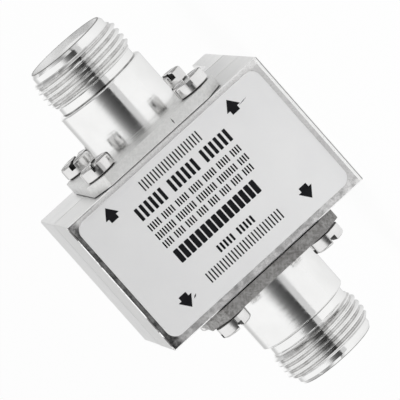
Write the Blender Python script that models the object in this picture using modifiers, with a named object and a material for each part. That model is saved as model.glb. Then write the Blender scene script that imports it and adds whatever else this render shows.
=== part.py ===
"""A coaxial surge protector: a metal housing in two halves, with two flanged, threaded jacks.

Metres, +Z up. The part stands on its mounting face at Z = 0. The jack axis is
parallel to X, over the origin: the antenna jack points to +X and the equipment
jack to -X. The labelled cover faces -Y, and the bracket's leg runs out to +Y.
"""
import math

import bmesh
import bpy
from mathutils import Matrix, Vector

# Clearance between two pieces that touch on the real object
SEAT_GAP = 0.0003

# Housing block: height is between the flanges, width runs up from the mounting face
BODY_WIDTH = 0.0385
BODY_HEIGHT = 0.0248
BODY_DEPTH = 0.0272
BODY_EDGE = 0.0003
SIDE_WALL = 0.0034
JACK_WALL = 0.0046
FRONT_WALL = 0.0020
BACK_WALL = 0.0040
CAVITY_RADIUS = 0.0025

# The cover is the front half of the housing, as deep as this
COVER_DEPTH = 0.0132

# Label on the cover, with its margins to the edges of the front face
LABEL_THICKNESS = 0.00025
LABEL_RADIUS = 0.0017
LABEL_MARGIN_TOP = 0.00085
LABEL_MARGIN_FOOT = 0.0014
LABEL_MARGIN_ANTENNA = 0.0008
LABEL_MARGIN_EQUIPMENT = 0.0013

# Mounting bracket behind the housing
BRACKET_THICKNESS = 0.0030
BRACKET_REACH = 0.0164
BRACKET_FOOT_HEIGHT = 0.0220
BRACKET_FILLET = 0.0010
BRACKET_EDGE = 0.0003
BRACKET_HOLE_DIAMETER = 0.0052
BRACKET_HOLE_MARGIN = 0.0054
BRACKET_SCREW_MARGIN = 0.0059
BRACKET_SCREW_HEIGHT = 0.0140

# Jack flange, as wide as its screws' spacing with a margin on both sides
FLANGE_SCREW_SPACING = 0.0189
FLANGE_SCREW_MARGIN = 0.00335
FLANGE_THICKNESS = 0.0018
FLANGE_CHAMFER = 0.0030
FLANGE_PROUD = 0.0002

# Jack shell, with lengths measured from the flange's seat out to the rim
JACK_REACH = 0.0188
BARREL_DIAMETER = 0.0158
BARREL_LENGTH = 0.0109
BARREL_EDGE = 0.00025
RELIEF_LENGTH = 0.0016
THREAD_DIAMETER = 0.0158
THREAD_PITCH = 0.025400 / 24
LIP_LENGTH = 0.0014
LIP_DIAMETER = 0.0140
RIM_DIAMETER = 0.01335
RIM_CHAMFER_LENGTH = 0.0006
MOUTH_DIAMETER = 0.0108
MOUTH_DEPTH = 0.0016
BORE_DIAMETER = 0.0081
SPIGOT_DIAMETER = 0.0112
SPIGOT_LENGTH = 0.0015
COUNTERBORE_DIAMETER = 0.0094
COUNTERBORE_DEPTH = 0.0040

# Insulator and centre contact
INSULATOR_RECESS = 0.0092
NECK_DIAMETER = 0.0062
CONTACT_DIAMETER = 0.0030
CONTACT_RECESS = 0.0050
SOCKET_DIAMETER = 0.00165
SOCKET_DEPTH = 0.0060
SOCKET_SLOT_WIDTH = 0.0004
SOCKET_SLOT_LENGTH = 0.0036
TAIL_DIAMETER = 0.0016

# Pan-head screws with a slot across and a cross recess
SCREW_HEAD_DIAMETER = 0.0055
SCREW_HEAD_HEIGHT = 0.0019
SCREW_HEAD_CROWN = 0.0007
SCREW_HEAD_INSET = 0.0011
SCREW_DIAMETER = 0.0026
SCREW_LENGTH = 0.0056
SCREW_TIP_CHAMFER = 0.0003
SLOT_WIDTH = 0.0009
SLOT_DEPTH = 0.0010
CROSS_LENGTH = 0.0032
SCREW_SPINS = (100, 64, 78, 83)

# Pieces inside the housing, on and beside the line between the two contacts
STRIP_THICKNESS = 0.0005
STRIP_BREADTH = 0.0050
STRIP_ARM = 0.0046
STRIP_TAIL = 0.0022
CAPACITOR_DIAMETER = 0.0070
CAPACITOR_THICKNESS = 0.0022
CAPACITOR_EDGE = 0.0005
TUBE_DIAMETER = 0.0080
TUBE_LENGTH = 0.00665
TUBE_WALL = 0.0012
ELECTRODE_THICKNESS = 0.0008
ELECTRODE_BOSS_DIAMETER = 0.0036
ELECTRODE_BOSS_LENGTH = 0.0014
CLIP_THICKNESS = 0.0004
CLIP_BREADTH = 0.0044
CLIP_FINGER = 0.0038
COIL_DIAMETER = 0.0048
COIL_WIRE_DIAMETER = 0.0009
COIL_TURNS = 4
COIL_LEAD = 0.0008

# Facets
JACK_SEGMENTS = 36
SCREW_SEGMENTS = 16
CROWN_STEPS = 3
SMALL_SEGMENTS = 24
CORNER_STEPS = 5
COIL_STEPS = 12
COIL_RESOLUTION = 1
BEVEL_SEGMENTS = 2
BEVEL_ANGLE = math.radians(40)
SHARP_ANGLE = math.radians(32)
WELD = 0.00001

# Thread form, as shares of the pitch: a 60 degree V with a flat crest and root
FORM_DEPTH = 0.5413
FORM_FLANK = 0.3125
FORM_CREST = 0.125

# Places that follow from the sizes above
FLANGE_SIDE = FLANGE_SCREW_SPACING + 2 * FLANGE_SCREW_MARGIN
AXIS_HEIGHT = BODY_WIDTH / 2
FRONT = FLANGE_PROUD - FLANGE_SIDE / 2
BACK = FRONT + BODY_DEPTH
FLANGE_SEAT = BODY_HEIGHT / 2 + SEAT_GAP
PARTING_FACE = FRONT + COVER_DEPTH
CAVITY_FRONT = FRONT + FRONT_WALL
CAVITY_FLOOR = BACK - BACK_WALL
CAVITY_HALF = BODY_HEIGHT / 2 - JACK_WALL
THREAD_ROOT = THREAD_DIAMETER / 2 - FORM_DEPTH * THREAD_PITCH
THREAD_START = BARREL_LENGTH + RELIEF_LENGTH
THREAD_END = JACK_REACH - LIP_LENGTH
LINE_HALF_GAP = CAPACITOR_THICKNESS / 2 + SEAT_GAP
TAIL_REACH = LINE_HALF_GAP + STRIP_THICKNESS + SEAT_GAP
BRACKET_HOLE_X = BODY_HEIGHT / 2 - BRACKET_HOLE_MARGIN
BRACKET_SCREW_X = BODY_HEIGHT / 2 - BRACKET_SCREW_MARGIN
INNER_CEILING = BODY_WIDTH - SIDE_WALL
TUBE_TOP = INNER_CEILING - SEAT_GAP - CLIP_THICKNESS - SEAT_GAP
TUBE_FOOT = TUBE_TOP - TUBE_LENGTH
STRIP_RISE = TUBE_FOOT - SEAT_GAP - AXIS_HEIGHT

# Turns from a shape's own upright axis to the directions that it is used in
FACING_ANTENNA = Matrix.Rotation(math.radians(90), 4, "Y")
FACING_EQUIPMENT = Matrix.Rotation(math.radians(-90), 4, "Y")
FACING_FRONT = Matrix.Rotation(math.radians(90), 4, "X")
FACING_BACK = Matrix.Rotation(math.radians(-90), 4, "X")


def clear_scene():
    for obj in list(bpy.data.objects):
        bpy.data.objects.remove(obj, do_unlink=True)


def new_collection(name):
    collection = bpy.data.collections.new(name)
    bpy.context.scene.collection.children.link(collection)
    return collection


def new_material(name, colour, roughness, metallic):
    material = bpy.data.materials.new(name)
    material.use_nodes = True
    shader = material.node_tree.nodes["Principled BSDF"]
    shader.inputs["Base Color"].default_value = (*colour, 1.0)
    shader.inputs["Roughness"].default_value = roughness
    shader.inputs["Metallic"].default_value = metallic
    material.diffuse_color = (*colour, 1.0)
    return material


clear_scene()
PARTS = new_collection("coaxial_surge_protector")
CUTTERS = new_collection("cutters")
BLANKS = new_collection("blanks")
CAST_METAL = new_material("cast_metal", (0.62, 0.62, 0.63), 0.45, 1.0)
COVER_METAL = new_material("cover_metal", (0.58, 0.58, 0.58), 0.50, 1.0)
LABEL_FOIL = new_material("label_foil", (0.66, 0.66, 0.68), 0.40, 0.0)
PLATED_BRASS = new_material("plated_brass", (0.80, 0.79, 0.77), 0.22, 1.0)
SCREW_STEEL = new_material("screw_steel", (0.74, 0.74, 0.75), 0.25, 1.0)
WHITE_PLASTIC = new_material("white_plastic", (0.85, 0.85, 0.82), 0.55, 0.0)
GOLD_PLATE = new_material("gold_plate", (0.83, 0.62, 0.27), 0.25, 1.0)
COPPER = new_material("copper", (0.72, 0.38, 0.24), 0.35, 1.0)
CERAMIC = new_material("ceramic", (0.80, 0.76, 0.70), 0.60, 0.0)
BLUE_COAT = new_material("blue_coat", (0.10, 0.22, 0.45), 0.50, 0.0)


def move(x, y, z):
    return Matrix.Translation(Vector((x, y, z)))


def place(obj, placement):
    obj.matrix_world = placement
    return obj


def new_object(name, mesh, collection):
    obj = bpy.data.objects.new(name, mesh)
    collection.objects.link(obj)
    return obj


def finish(obj, material):
    """Gives a sub-part its material and shades its round faces smooth."""
    obj.data.materials.clear()
    obj.data.materials.append(material)
    obj.data.shade_smooth()
    obj.data.set_sharp_from_angle(angle=SHARP_ANGLE)
    return obj


def mark_cutter(obj):
    obj.hide_render = True
    obj.display_type = "WIRE"
    return obj


def real_mesh(obj, name):
    """The mesh that an object's curve or modifiers make, welded into one skin."""
    bpy.context.view_layer.update()
    graph = bpy.context.evaluated_depsgraph_get()
    mesh = bpy.data.meshes.new_from_object(obj.evaluated_get(graph))
    mesh.name = name
    welded = bmesh.new()
    welded.from_mesh(mesh)
    bmesh.ops.remove_doubles(welded, verts=welded.verts, dist=WELD)
    bmesh.ops.dissolve_degenerate(welded, edges=welded.edges, dist=WELD / 10)
    welded.to_mesh(mesh)
    welded.free()
    return mesh


def block(name, low, high, collection):
    """A box between two corners, from a unit cube."""
    mesh = bpy.data.meshes.new(name)
    shape = bmesh.new()
    size = [high[axis] - low[axis] for axis in range(3)]
    centre = [(high[axis] + low[axis]) / 2 for axis in range(3)]
    bmesh.ops.create_cube(shape, size=1.0)
    bmesh.ops.scale(shape, vec=size, verts=shape.verts)
    shape.to_mesh(mesh)
    shape.free()
    obj = new_object(name, mesh, collection)
    obj.location = centre
    return obj


def turned(name, profile, segments, collection):
    """A turned shape: (radius, height) points down its outer side, from top to bottom."""
    mesh = bpy.data.meshes.new(name)
    points = [(radius, 0.0, height) for radius, height in profile]
    edges = [(index, index + 1) for index in range(len(points) - 1)]
    mesh.from_pydata(points, edges, [])
    obj = new_object(name, mesh, collection)
    screw = obj.modifiers.new("Turn", "SCREW")
    screw.axis = "Z"
    screw.steps = segments
    screw.render_steps = segments
    screw.use_merge_vertices = True
    screw.merge_threshold = WELD
    return obj


def ring_profile(profile):
    """Closes an outer profile that ends on an inner one, so that the turned shape has a bore."""
    return profile + [profile[0]]


def cylinder(name, diameter, low, high, segments, collection):
    radius = diameter / 2
    return turned(name, [(0, high), (radius, high), (radius, low), (0, low)], segments, collection)


def extruded(name, outline, thickness, collection):
    """A flat outline in its own XY plane, given a thickness that is centred on that plane."""
    curve = bpy.data.curves.new(name, "CURVE")
    curve.dimensions = "2D"
    curve.fill_mode = "BOTH"
    curve.extrude = thickness / 2
    spline = curve.splines.new("POLY")
    spline.points.add(len(outline) - 1)
    for point, (x, y) in zip(spline.points, outline):
        point.co = (x, y, 0.0, 1.0)
    spline.use_cyclic_u = True
    guide = new_object(name + "_outline", curve, collection)
    obj = new_object(name, real_mesh(guide, name), collection)
    obj.matrix_world = guide.matrix_world
    bpy.data.objects.remove(guide, do_unlink=True)
    return obj


def arc(centre, radius, start, end, steps):
    """Points of a round corner, with its start and end angles in degrees."""
    angles = [math.radians(start + (end - start) * step / steps) for step in range(steps + 1)]
    return [(centre[0] + radius * math.cos(a), centre[1] + radius * math.sin(a)) for a in angles]


def rounded_rectangle(low, high, radius):
    corners = [
        ((high[0] - radius, high[1] - radius), 0),
        ((low[0] + radius, high[1] - radius), 90),
        ((low[0] + radius, low[1] + radius), 180),
        ((high[0] - radius, low[1] + radius), 270),
    ]
    outline = []
    for centre, start in corners:
        outline += arc(centre, radius, start, start + 90, CORNER_STEPS)
    return outline


def chamfered_square(side, chamfer):
    half = side / 2
    flat = half - chamfer
    return [
        (half, -flat), (half, flat), (flat, half), (-flat, half),
        (-half, flat), (-half, -flat), (-flat, -half), (flat, -half),
    ]


def bevel(obj, width):
    modifier = obj.modifiers.new("Edges", "BEVEL")
    modifier.width = width
    modifier.segments = BEVEL_SEGMENTS
    modifier.limit_method = "ANGLE"
    modifier.angle_limit = BEVEL_ANGLE


def combine(obj, other, operation):
    modifier = obj.modifiers.new(operation.title() + " " + other.name, "BOOLEAN")
    modifier.object = other
    modifier.operation = operation
    modifier.solver = "EXACT"
    mark_cutter(other)


def cut(obj, cutter):
    combine(obj, cutter, "DIFFERENCE")


def jack_placement(side):
    """Puts a jack's own frame, with its origin on the flange's seat, on one end of the housing."""
    turn = FACING_ANTENNA if side > 0 else FACING_EQUIPMENT
    return move(side * FLANGE_SEAT, 0, AXIS_HEIGHT) @ turn


def corner_places(spacing):
    half = spacing / 2
    return [(half, half), (-half, half), (-half, -half), (half, -half)]


def front_plate(name, low, high, radius, near, far, collection):
    """A plate parallel to the front face, between two depths, with (X, Z) corners low and high."""
    plate = extruded(name, rounded_rectangle(low, high, radius), far - near, collection)
    return place(plate, move(0, (near + far) / 2, 0) @ FACING_FRONT)


def housing_half(name, kept_side, waste_near, waste_far):
    """One half of the housing: a rounded block less its waste, the cavity and the jacks' seats."""
    half = BODY_HEIGHT / 2
    shell = block(name, (-half, FRONT, 0), (half, BACK, BODY_WIDTH), PARTS)
    bevel(shell, BODY_EDGE)
    waste = block(
        name + "_waste",
        (-half - SEAT_GAP, waste_near, -SEAT_GAP),
        (half + SEAT_GAP, waste_far, BODY_WIDTH + SEAT_GAP),
        CUTTERS,
    )
    cut(shell, waste)
    cavity = front_plate(
        name + "_cavity",
        (-CAVITY_HALF, SIDE_WALL),
        (CAVITY_HALF, INNER_CEILING),
        CAVITY_RADIUS,
        CAVITY_FRONT,
        CAVITY_FLOOR,
        CUTTERS,
    )
    cut(shell, cavity)
    for side, end in ((1, "antenna"), (-1, "equipment")):
        cut_jack_seat(shell, side, "%s_%s" % (name, end), kept_side)
    return shell


def make_housing():
    """The rear half, which the bracket is screwed to."""
    housing = housing_half("housing", 1, FRONT - SEAT_GAP, PARTING_FACE + SEAT_GAP)
    for index, side in enumerate((-1, 1)):
        hole = screw_hole("bracket_hole_cutter_%d" % index)
        place(hole, bracket_screw_placement(side))
        cut(housing, hole)
    return finish(housing, CAST_METAL)


def make_cover():
    """The front half, which carries the label and is held by the front screws of the flanges."""
    cover = housing_half("cover_plate", -1, PARTING_FACE, BACK + SEAT_GAP)
    return finish(cover, COVER_METAL)


def cut_jack_seat(shell, side, name, kept_side):
    """One half's share of a jack's counterbore, the neck's way in and the screw holes."""
    seat_radius = SPIGOT_DIAMETER / 2 + SEAT_GAP
    neck_radius = NECK_DIAMETER / 2 + SEAT_GAP
    seat_floor = -SPIGOT_LENGTH - SEAT_GAP
    inner_end = CAVITY_HALF - FLANGE_SEAT - BODY_EDGE
    profile = [
        (0, SEAT_GAP + BODY_EDGE),
        (seat_radius, SEAT_GAP + BODY_EDGE),
        (seat_radius, seat_floor),
        (neck_radius, seat_floor),
        (neck_radius, inner_end),
        (0, inner_end),
    ]
    seat = turned(name + "_seat_cutter", profile, JACK_SEGMENTS, CUTTERS)
    place(seat, jack_placement(side))
    cut(shell, seat)
    for index, (x, y) in enumerate(corner_places(FLANGE_SCREW_SPACING)):
        if y * kept_side > 0:
            hole = screw_hole("%s_hole_cutter_%d" % (name, index))
            place(hole, jack_placement(side) @ flange_screw_placement(x, y))
            cut(shell, hole)


def screw_hole(name):
    """Room for one screw's shank, from above its head's seat to just past its tip."""
    diameter = SCREW_DIAMETER + 2 * SEAT_GAP
    return cylinder(name, diameter, -SCREW_LENGTH - SEAT_GAP, SEAT_GAP, SCREW_SEGMENTS, CUTTERS)


def flange_screw_placement(x, y):
    """A flange screw's frame, with its origin under the head, in the jack's own frame."""
    return move(x, y, FLANGE_THICKNESS + SEAT_GAP)


def bracket_screw_placement(side):
    seat = BACK + SEAT_GAP + BRACKET_THICKNESS + SEAT_GAP
    return move(side * BRACKET_SCREW_X, seat, BRACKET_SCREW_HEIGHT) @ FACING_BACK


def make_label():
    label = front_plate(
        "label_plate",
        (LABEL_MARGIN_EQUIPMENT - BODY_HEIGHT / 2, LABEL_MARGIN_FOOT),
        (BODY_HEIGHT / 2 - LABEL_MARGIN_ANTENNA, BODY_WIDTH - LABEL_MARGIN_TOP),
        LABEL_RADIUS,
        FRONT - SEAT_GAP - LABEL_THICKNESS,
        FRONT - SEAT_GAP,
        PARTS,
    )
    return finish(label, LABEL_FOIL)


def make_bracket():
    """An angle with its foot on the housing's back and its leg flush with the mounting face."""
    near = BACK + SEAT_GAP
    inner = near + BRACKET_THICKNESS
    end = BACK + BRACKET_REACH
    fillet_centre = (inner + BRACKET_FILLET, BRACKET_THICKNESS + BRACKET_FILLET)
    outline = [
        (near, 0),
        (end, 0),
        (end, BRACKET_THICKNESS),
        *arc(fillet_centre, BRACKET_FILLET, 270, 180, CORNER_STEPS),
        (inner, BRACKET_FOOT_HEIGHT),
        (near, BRACKET_FOOT_HEIGHT),
    ]
    bracket = extruded("mounting_bracket", outline, BODY_HEIGHT, PARTS)
    across = Matrix(((0, 0, 1, 0), (1, 0, 0, 0), (0, 1, 0, 0), (0, 0, 0, 1)))
    place(bracket, across)
    bevel(bracket, BRACKET_EDGE)
    leg_middle = (inner + end) / 2
    for index, side in enumerate((-1, 1)):
        hole = cylinder(
            "bracket_mount_cutter_%d" % index,
            BRACKET_HOLE_DIAMETER,
            -SEAT_GAP,
            BRACKET_THICKNESS + SEAT_GAP,
            SMALL_SEGMENTS,
            CUTTERS,
        )
        place(hole, move(side * BRACKET_HOLE_X, leg_middle, 0))
        cut(bracket, hole)
        hole = screw_hole("foot_hole_cutter_%d" % index)
        place(hole, bracket_screw_placement(side))
        cut(bracket, hole)
    return finish(bracket, CAST_METAL)


def helical_rod(name, turns, segments, collection):
    """A threaded rod: one pitch of the 60 degree thread form, swept along its helix."""
    crest = THREAD_DIAMETER / 2
    flank = FORM_FLANK * THREAD_PITCH
    flat = FORM_CREST * THREAD_PITCH
    form = [
        (THREAD_ROOT, 0),
        (crest, flank),
        (crest, flank + flat),
        (THREAD_ROOT, 2 * flank + flat),
        (THREAD_ROOT, THREAD_PITCH),
    ]
    rod = bmesh.new()
    points = [rod.verts.new((radius, 0, height)) for radius, height in form]
    edges = [rod.edges.new(pair) for pair in zip(points, points[1:])]
    bmesh.ops.spin(
        rod,
        geom=points + edges,
        cent=(0, 0, 0),
        axis=(0, 0, 1),
        dvec=(0, 0, THREAD_PITCH / segments),
        angle=math.tau * turns,
        steps=segments * turns,
    )
    bmesh.ops.remove_doubles(rod, verts=rod.verts, dist=WELD)
    open_edges = [edge for edge in rod.edges if edge.is_boundary]
    middle = THREAD_PITCH * (turns + 1) / 2
    for is_top in (False, True):
        rim = [edge for edge in open_edges if (edge.verts[0].co.z > middle) == is_top]
        heights = [vert.co.z for edge in rim for vert in edge.verts]
        hub = rod.verts.new((0, 0, sum(heights) / len(heights)))
        for edge in rim:
            rod.faces.new((edge.verts[0], edge.verts[1], hub))
    bmesh.ops.recalc_face_normals(rod, faces=rod.faces)
    mesh = bpy.data.meshes.new(name)
    rod.to_mesh(mesh)
    rod.free()
    return new_object(name, mesh, collection)


def jack_thread():
    """The thread of one jack, cut to its length with a lead-in chamfer at each end."""
    length = THREAD_END - THREAD_START
    turns = math.ceil(length / THREAD_PITCH) + 2
    rod = helical_rod("thread_blank", turns, JACK_SEGMENTS, BLANKS)
    middle = (THREAD_START + THREAD_END) / 2
    place(rod, move(0, 0, middle - THREAD_PITCH * (turns + 1) / 2))
    crest = THREAD_DIAMETER / 2 + BARREL_EDGE
    inside = THREAD_ROOT - BARREL_EDGE
    chamfer = crest - inside
    profile = [
        (0, THREAD_END),
        (inside, THREAD_END),
        (crest, THREAD_END - chamfer),
        (crest, THREAD_START + chamfer),
        (inside, THREAD_START),
        (0, THREAD_START),
    ]
    trim = turned("thread_trim", profile, JACK_SEGMENTS, CUTTERS)
    combine(rod, trim, "INTERSECT")
    return rod


def jack_mesh():
    """The shell of one jack in its own frame: origin on the flange's seat, rim at the top."""
    barrel = BARREL_DIAMETER / 2
    lip = LIP_DIAMETER / 2
    spigot = SPIGOT_DIAMETER / 2
    profile = [
        (0, JACK_REACH),
        (RIM_DIAMETER / 2, JACK_REACH),
        (lip, JACK_REACH - RIM_CHAMFER_LENGTH),
        (lip, THREAD_END),
        (THREAD_ROOT, THREAD_END - (THREAD_ROOT - lip)),
        (THREAD_ROOT, BARREL_LENGTH),
        (barrel - BARREL_EDGE, BARREL_LENGTH),
        (barrel, BARREL_LENGTH - BARREL_EDGE),
        (barrel, FLANGE_THICKNESS / 2),
        (spigot, FLANGE_THICKNESS / 2),
        (spigot, -SPIGOT_LENGTH),
        (0, -SPIGOT_LENGTH),
    ]
    shell = turned("jack_blank", profile, JACK_SEGMENTS, BLANKS)
    flange = extruded("flange_blank", chamfered_square(FLANGE_SIDE, FLANGE_CHAMFER), FLANGE_THICKNESS, BLANKS)
    place(flange, move(0, 0, FLANGE_THICKNESS / 2))
    combine(shell, flange, "UNION")
    combine(shell, jack_thread(), "UNION")
    bore = BORE_DIAMETER / 2
    counterbore = COUNTERBORE_DIAMETER / 2
    hollow = [
        (0, JACK_REACH + SEAT_GAP),
        (MOUTH_DIAMETER / 2, JACK_REACH + SEAT_GAP),
        (MOUTH_DIAMETER / 2, JACK_REACH - MOUTH_DEPTH / 2),
        (bore, JACK_REACH - MOUTH_DEPTH),
        (bore, COUNTERBORE_DEPTH),
        (counterbore, COUNTERBORE_DEPTH),
        (counterbore, -SPIGOT_LENGTH - SEAT_GAP),
        (0, -SPIGOT_LENGTH - SEAT_GAP),
    ]
    cut(shell, turned("bore_cutter", hollow, JACK_SEGMENTS, CUTTERS))
    for index, (x, y) in enumerate(corner_places(FLANGE_SCREW_SPACING)):
        hole = screw_hole("flange_hole_cutter_%d" % index)
        cut(shell, place(hole, flange_screw_placement(x, y)))
    return real_mesh(shell, "jack")


def make_insulator(name, side):
    """A stepped plug that fills the shell's bores, with a neck through the housing's wall."""
    front = BORE_DIAMETER / 2 - SEAT_GAP
    shoulder = COUNTERBORE_DIAMETER / 2 - SEAT_GAP
    neck = NECK_DIAMETER / 2
    socket = CONTACT_DIAMETER / 2 + SEAT_GAP
    tail = TAIL_DIAMETER / 2 + SEAT_GAP
    face = JACK_REACH - INSULATOR_RECESS
    shoulder_top = COUNTERBORE_DEPTH - SEAT_GAP
    neck_end = CAVITY_HALF - FLANGE_SEAT
    profile = [
        (front, face),
        (front, shoulder_top),
        (shoulder, shoulder_top),
        (shoulder, -SPIGOT_LENGTH),
        (neck, -SPIGOT_LENGTH),
        (neck, neck_end),
        (tail, neck_end),
        (tail, -SEAT_GAP),
        (socket, -SEAT_GAP),
        (socket, face),
    ]
    insulator = turned(name, ring_profile(profile), SMALL_SEGMENTS, PARTS)
    place(insulator, jack_placement(side))
    return finish(insulator, WHITE_PLASTIC)


def contact_mesh():
    """A turned contact with a socket, split into four fingers, and a thin tail into the housing."""
    radius = CONTACT_DIAMETER / 2
    socket = SOCKET_DIAMETER / 2
    tail = TAIL_DIAMETER / 2
    tip = JACK_REACH - CONTACT_RECESS
    lead = socket / 3
    profile = [
        (0, tip - SOCKET_DEPTH),
        (socket, tip - SOCKET_DEPTH),
        (socket, tip - lead),
        (socket + lead, tip),
        (radius - lead, tip),
        (radius, tip - lead),
        (radius, 0),
        (tail, 0),
        (tail, TAIL_REACH - FLANGE_SEAT),
        (0, TAIL_REACH - FLANGE_SEAT),
    ]
    contact = turned("contact_blank", profile, SMALL_SEGMENTS, BLANKS)
    for turn in (0, 1):
        half = (radius + SEAT_GAP, SOCKET_SLOT_WIDTH / 2)
        low = (-half[turn], -half[1 - turn], tip - SOCKET_SLOT_LENGTH)
        high = (half[turn], half[1 - turn], tip + SEAT_GAP)
        cut(contact, block("contact_slot_cutter_%d" % turn, low, high, CUTTERS))
    return real_mesh(contact, "contact")


def screw_mesh():
    """A pan-head screw, with its origin under the head."""
    head = SCREW_HEAD_DIAMETER / 2
    shank = SCREW_DIAMETER / 2
    wall = SCREW_HEAD_HEIGHT - SCREW_HEAD_CROWN
    crown = []
    for step in range(CROWN_STEPS):
        angle = math.pi / 2 * step / CROWN_STEPS
        reach = head - SCREW_HEAD_INSET * (1 - math.sin(angle))
        crown.append((reach, wall + SCREW_HEAD_CROWN * math.cos(angle)))
    profile = [
        (0, SCREW_HEAD_HEIGHT),
        *crown,
        (head, wall),
        (head, 0),
        (shank, 0),
        (shank, SCREW_TIP_CHAMFER - SCREW_LENGTH),
        (shank - SCREW_TIP_CHAMFER, -SCREW_LENGTH),
        (0, -SCREW_LENGTH),
    ]
    screw = turned("screw_blank", profile, SCREW_SEGMENTS, BLANKS)
    top = SCREW_HEAD_HEIGHT + SEAT_GAP
    floor = SCREW_HEAD_HEIGHT - SLOT_DEPTH
    for index, length in enumerate((SCREW_HEAD_DIAMETER + 2 * SEAT_GAP, CROSS_LENGTH)):
        half = (length / 2, SLOT_WIDTH / 2)
        low = (-half[index], -half[1 - index], floor)
        high = (half[index], half[1 - index], top)
        cut(screw, block("screw_slot_cutter_%d" % index, low, high, CUTTERS))
    return real_mesh(screw, "screw")


def make_screws():
    mesh = screw_mesh()
    for side, end in ((1, "antenna"), (-1, "equipment")):
        for index, (x, y) in enumerate(corner_places(FLANGE_SCREW_SPACING)):
            screw = new_object("%s_screw_%d" % (end, index + 1), mesh, PARTS)
            spin = Matrix.Rotation(math.radians(SCREW_SPINS[index]), 4, "Z")
            place(screw, jack_placement(side) @ flange_screw_placement(x, y) @ spin)
            finish(screw, SCREW_STEEL)
    for side, end in ((-1, "left"), (1, "right")):
        screw = new_object("bracket_screw_" + end, mesh, PARTS)
        place(screw, bracket_screw_placement(side))
        finish(screw, SCREW_STEEL)


def make_strips():
    """Two like copper angles, one from each contact's tail, on either side of the capacitor."""
    inner = LINE_HALF_GAP
    outer = LINE_HALF_GAP + STRIP_THICKNESS
    top = STRIP_RISE
    outline = [
        (outer, -STRIP_TAIL),
        (outer, top),
        (outer - STRIP_ARM, top),
        (outer - STRIP_ARM, top - STRIP_THICKNESS),
        (inner, top - STRIP_THICKNESS),
        (inner, -STRIP_TAIL),
    ]
    for name, turn in (("antenna_strip", 0), ("equipment_strip", 180)):
        strip = extruded(name, outline, STRIP_BREADTH, PARTS)
        about_axis = Matrix.Rotation(math.radians(turn), 4, "Y")
        place(strip, move(0, 0, AXIS_HEIGHT) @ about_axis @ FACING_FRONT)
        finish(strip, COPPER)


def make_capacitor():
    radius = CAPACITOR_DIAMETER / 2
    half = CAPACITOR_THICKNESS / 2
    edge = CAPACITOR_EDGE
    profile = [
        (0, half),
        (radius - edge, half),
        (radius, half - edge),
        (radius, edge - half),
        (radius - edge, -half),
        (0, -half),
    ]
    disc = turned("blocking_capacitor", profile, SMALL_SEGMENTS, PARTS)
    place(disc, move(0, 0, AXIS_HEIGHT) @ FACING_ANTENNA)
    return finish(disc, BLUE_COAT)


def make_gas_tube():
    """A ceramic ring between two bossed electrodes, standing from the antenna strip to the clip."""
    radius = TUBE_DIAMETER / 2
    boss = ELECTRODE_BOSS_DIAMETER / 2
    boss_top = ELECTRODE_THICKNESS + ELECTRODE_BOSS_LENGTH
    electrode = [
        (0, boss_top),
        (boss, boss_top),
        (boss, ELECTRODE_THICKNESS),
        (radius, ELECTRODE_THICKNESS),
        (radius, 0),
        (0, 0),
    ]
    line = turned("gas_tube_line_electrode", electrode, SMALL_SEGMENTS, PARTS)
    place(line, move(0, 0, TUBE_FOOT))
    finish(line, PLATED_BRASS)
    ground = turned("gas_tube_ground_electrode", electrode, SMALL_SEGMENTS, PARTS)
    place(ground, move(0, 0, TUBE_TOP) @ Matrix.Rotation(math.pi, 4, "X"))
    finish(ground, PLATED_BRASS)
    low = TUBE_FOOT + ELECTRODE_THICKNESS + SEAT_GAP
    high = TUBE_TOP - ELECTRODE_THICKNESS - SEAT_GAP
    inside = radius - TUBE_WALL
    ring = [(radius, high), (radius, low), (inside, low), (inside, high)]
    ceramic = turned("gas_tube_ceramic", ring_profile(ring), SMALL_SEGMENTS, PARTS)
    finish(ceramic, CERAMIC)


def make_clip():
    """A spring clip on the cavity's ceiling, with a finger down each side of the gas tube."""
    inside = TUBE_DIAMETER / 2 + SEAT_GAP
    outside = inside + CLIP_THICKNESS
    top = INNER_CEILING - SEAT_GAP
    under = top - CLIP_THICKNESS
    outline = [
        (-outside, top - CLIP_FINGER),
        (-inside, top - CLIP_FINGER),
        (-inside, under),
        (inside, under),
        (inside, top - CLIP_FINGER),
        (outside, top - CLIP_FINGER),
        (outside, top),
        (-outside, top),
    ]
    clip = extruded("gas_tube_clip", outline, CLIP_BREADTH, PARTS)
    place(clip, FACING_FRONT)
    return finish(clip, COPPER)


def make_coil():
    """A wire coil that stands on the cavity's floor, under the equipment strip."""
    wire = COIL_WIRE_DIAMETER / 2
    radius = (COIL_DIAMETER - COIL_WIRE_DIAMETER) / 2
    low = SIDE_WALL + SEAT_GAP
    high = AXIS_HEIGHT - STRIP_RISE - SEAT_GAP
    steps = COIL_TURNS * COIL_STEPS
    rise = high - low - 2 * COIL_LEAD
    points = [(radius, 0, low)]
    for step in range(steps + 1):
        angle = math.tau * step / COIL_STEPS
        height = low + COIL_LEAD + rise * step / steps
        points.append((radius * math.cos(angle), radius * math.sin(angle), height))
    points.append((radius, 0, high))
    curve = bpy.data.curves.new("drain_coil", "CURVE")
    curve.dimensions = "3D"
    curve.bevel_depth = wire
    curve.bevel_resolution = COIL_RESOLUTION
    curve.use_fill_caps = True
    spline = curve.splines.new("POLY")
    spline.points.add(len(points) - 1)
    for point, place_of_point in zip(spline.points, points):
        point.co = (*place_of_point, 1.0)
    guide = new_object("drain_coil_guide", curve, PARTS)
    coil = new_object("drain_coil", real_mesh(guide, "drain_coil"), PARTS)
    bpy.data.objects.remove(guide, do_unlink=True)
    return finish(coil, COPPER)


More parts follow.
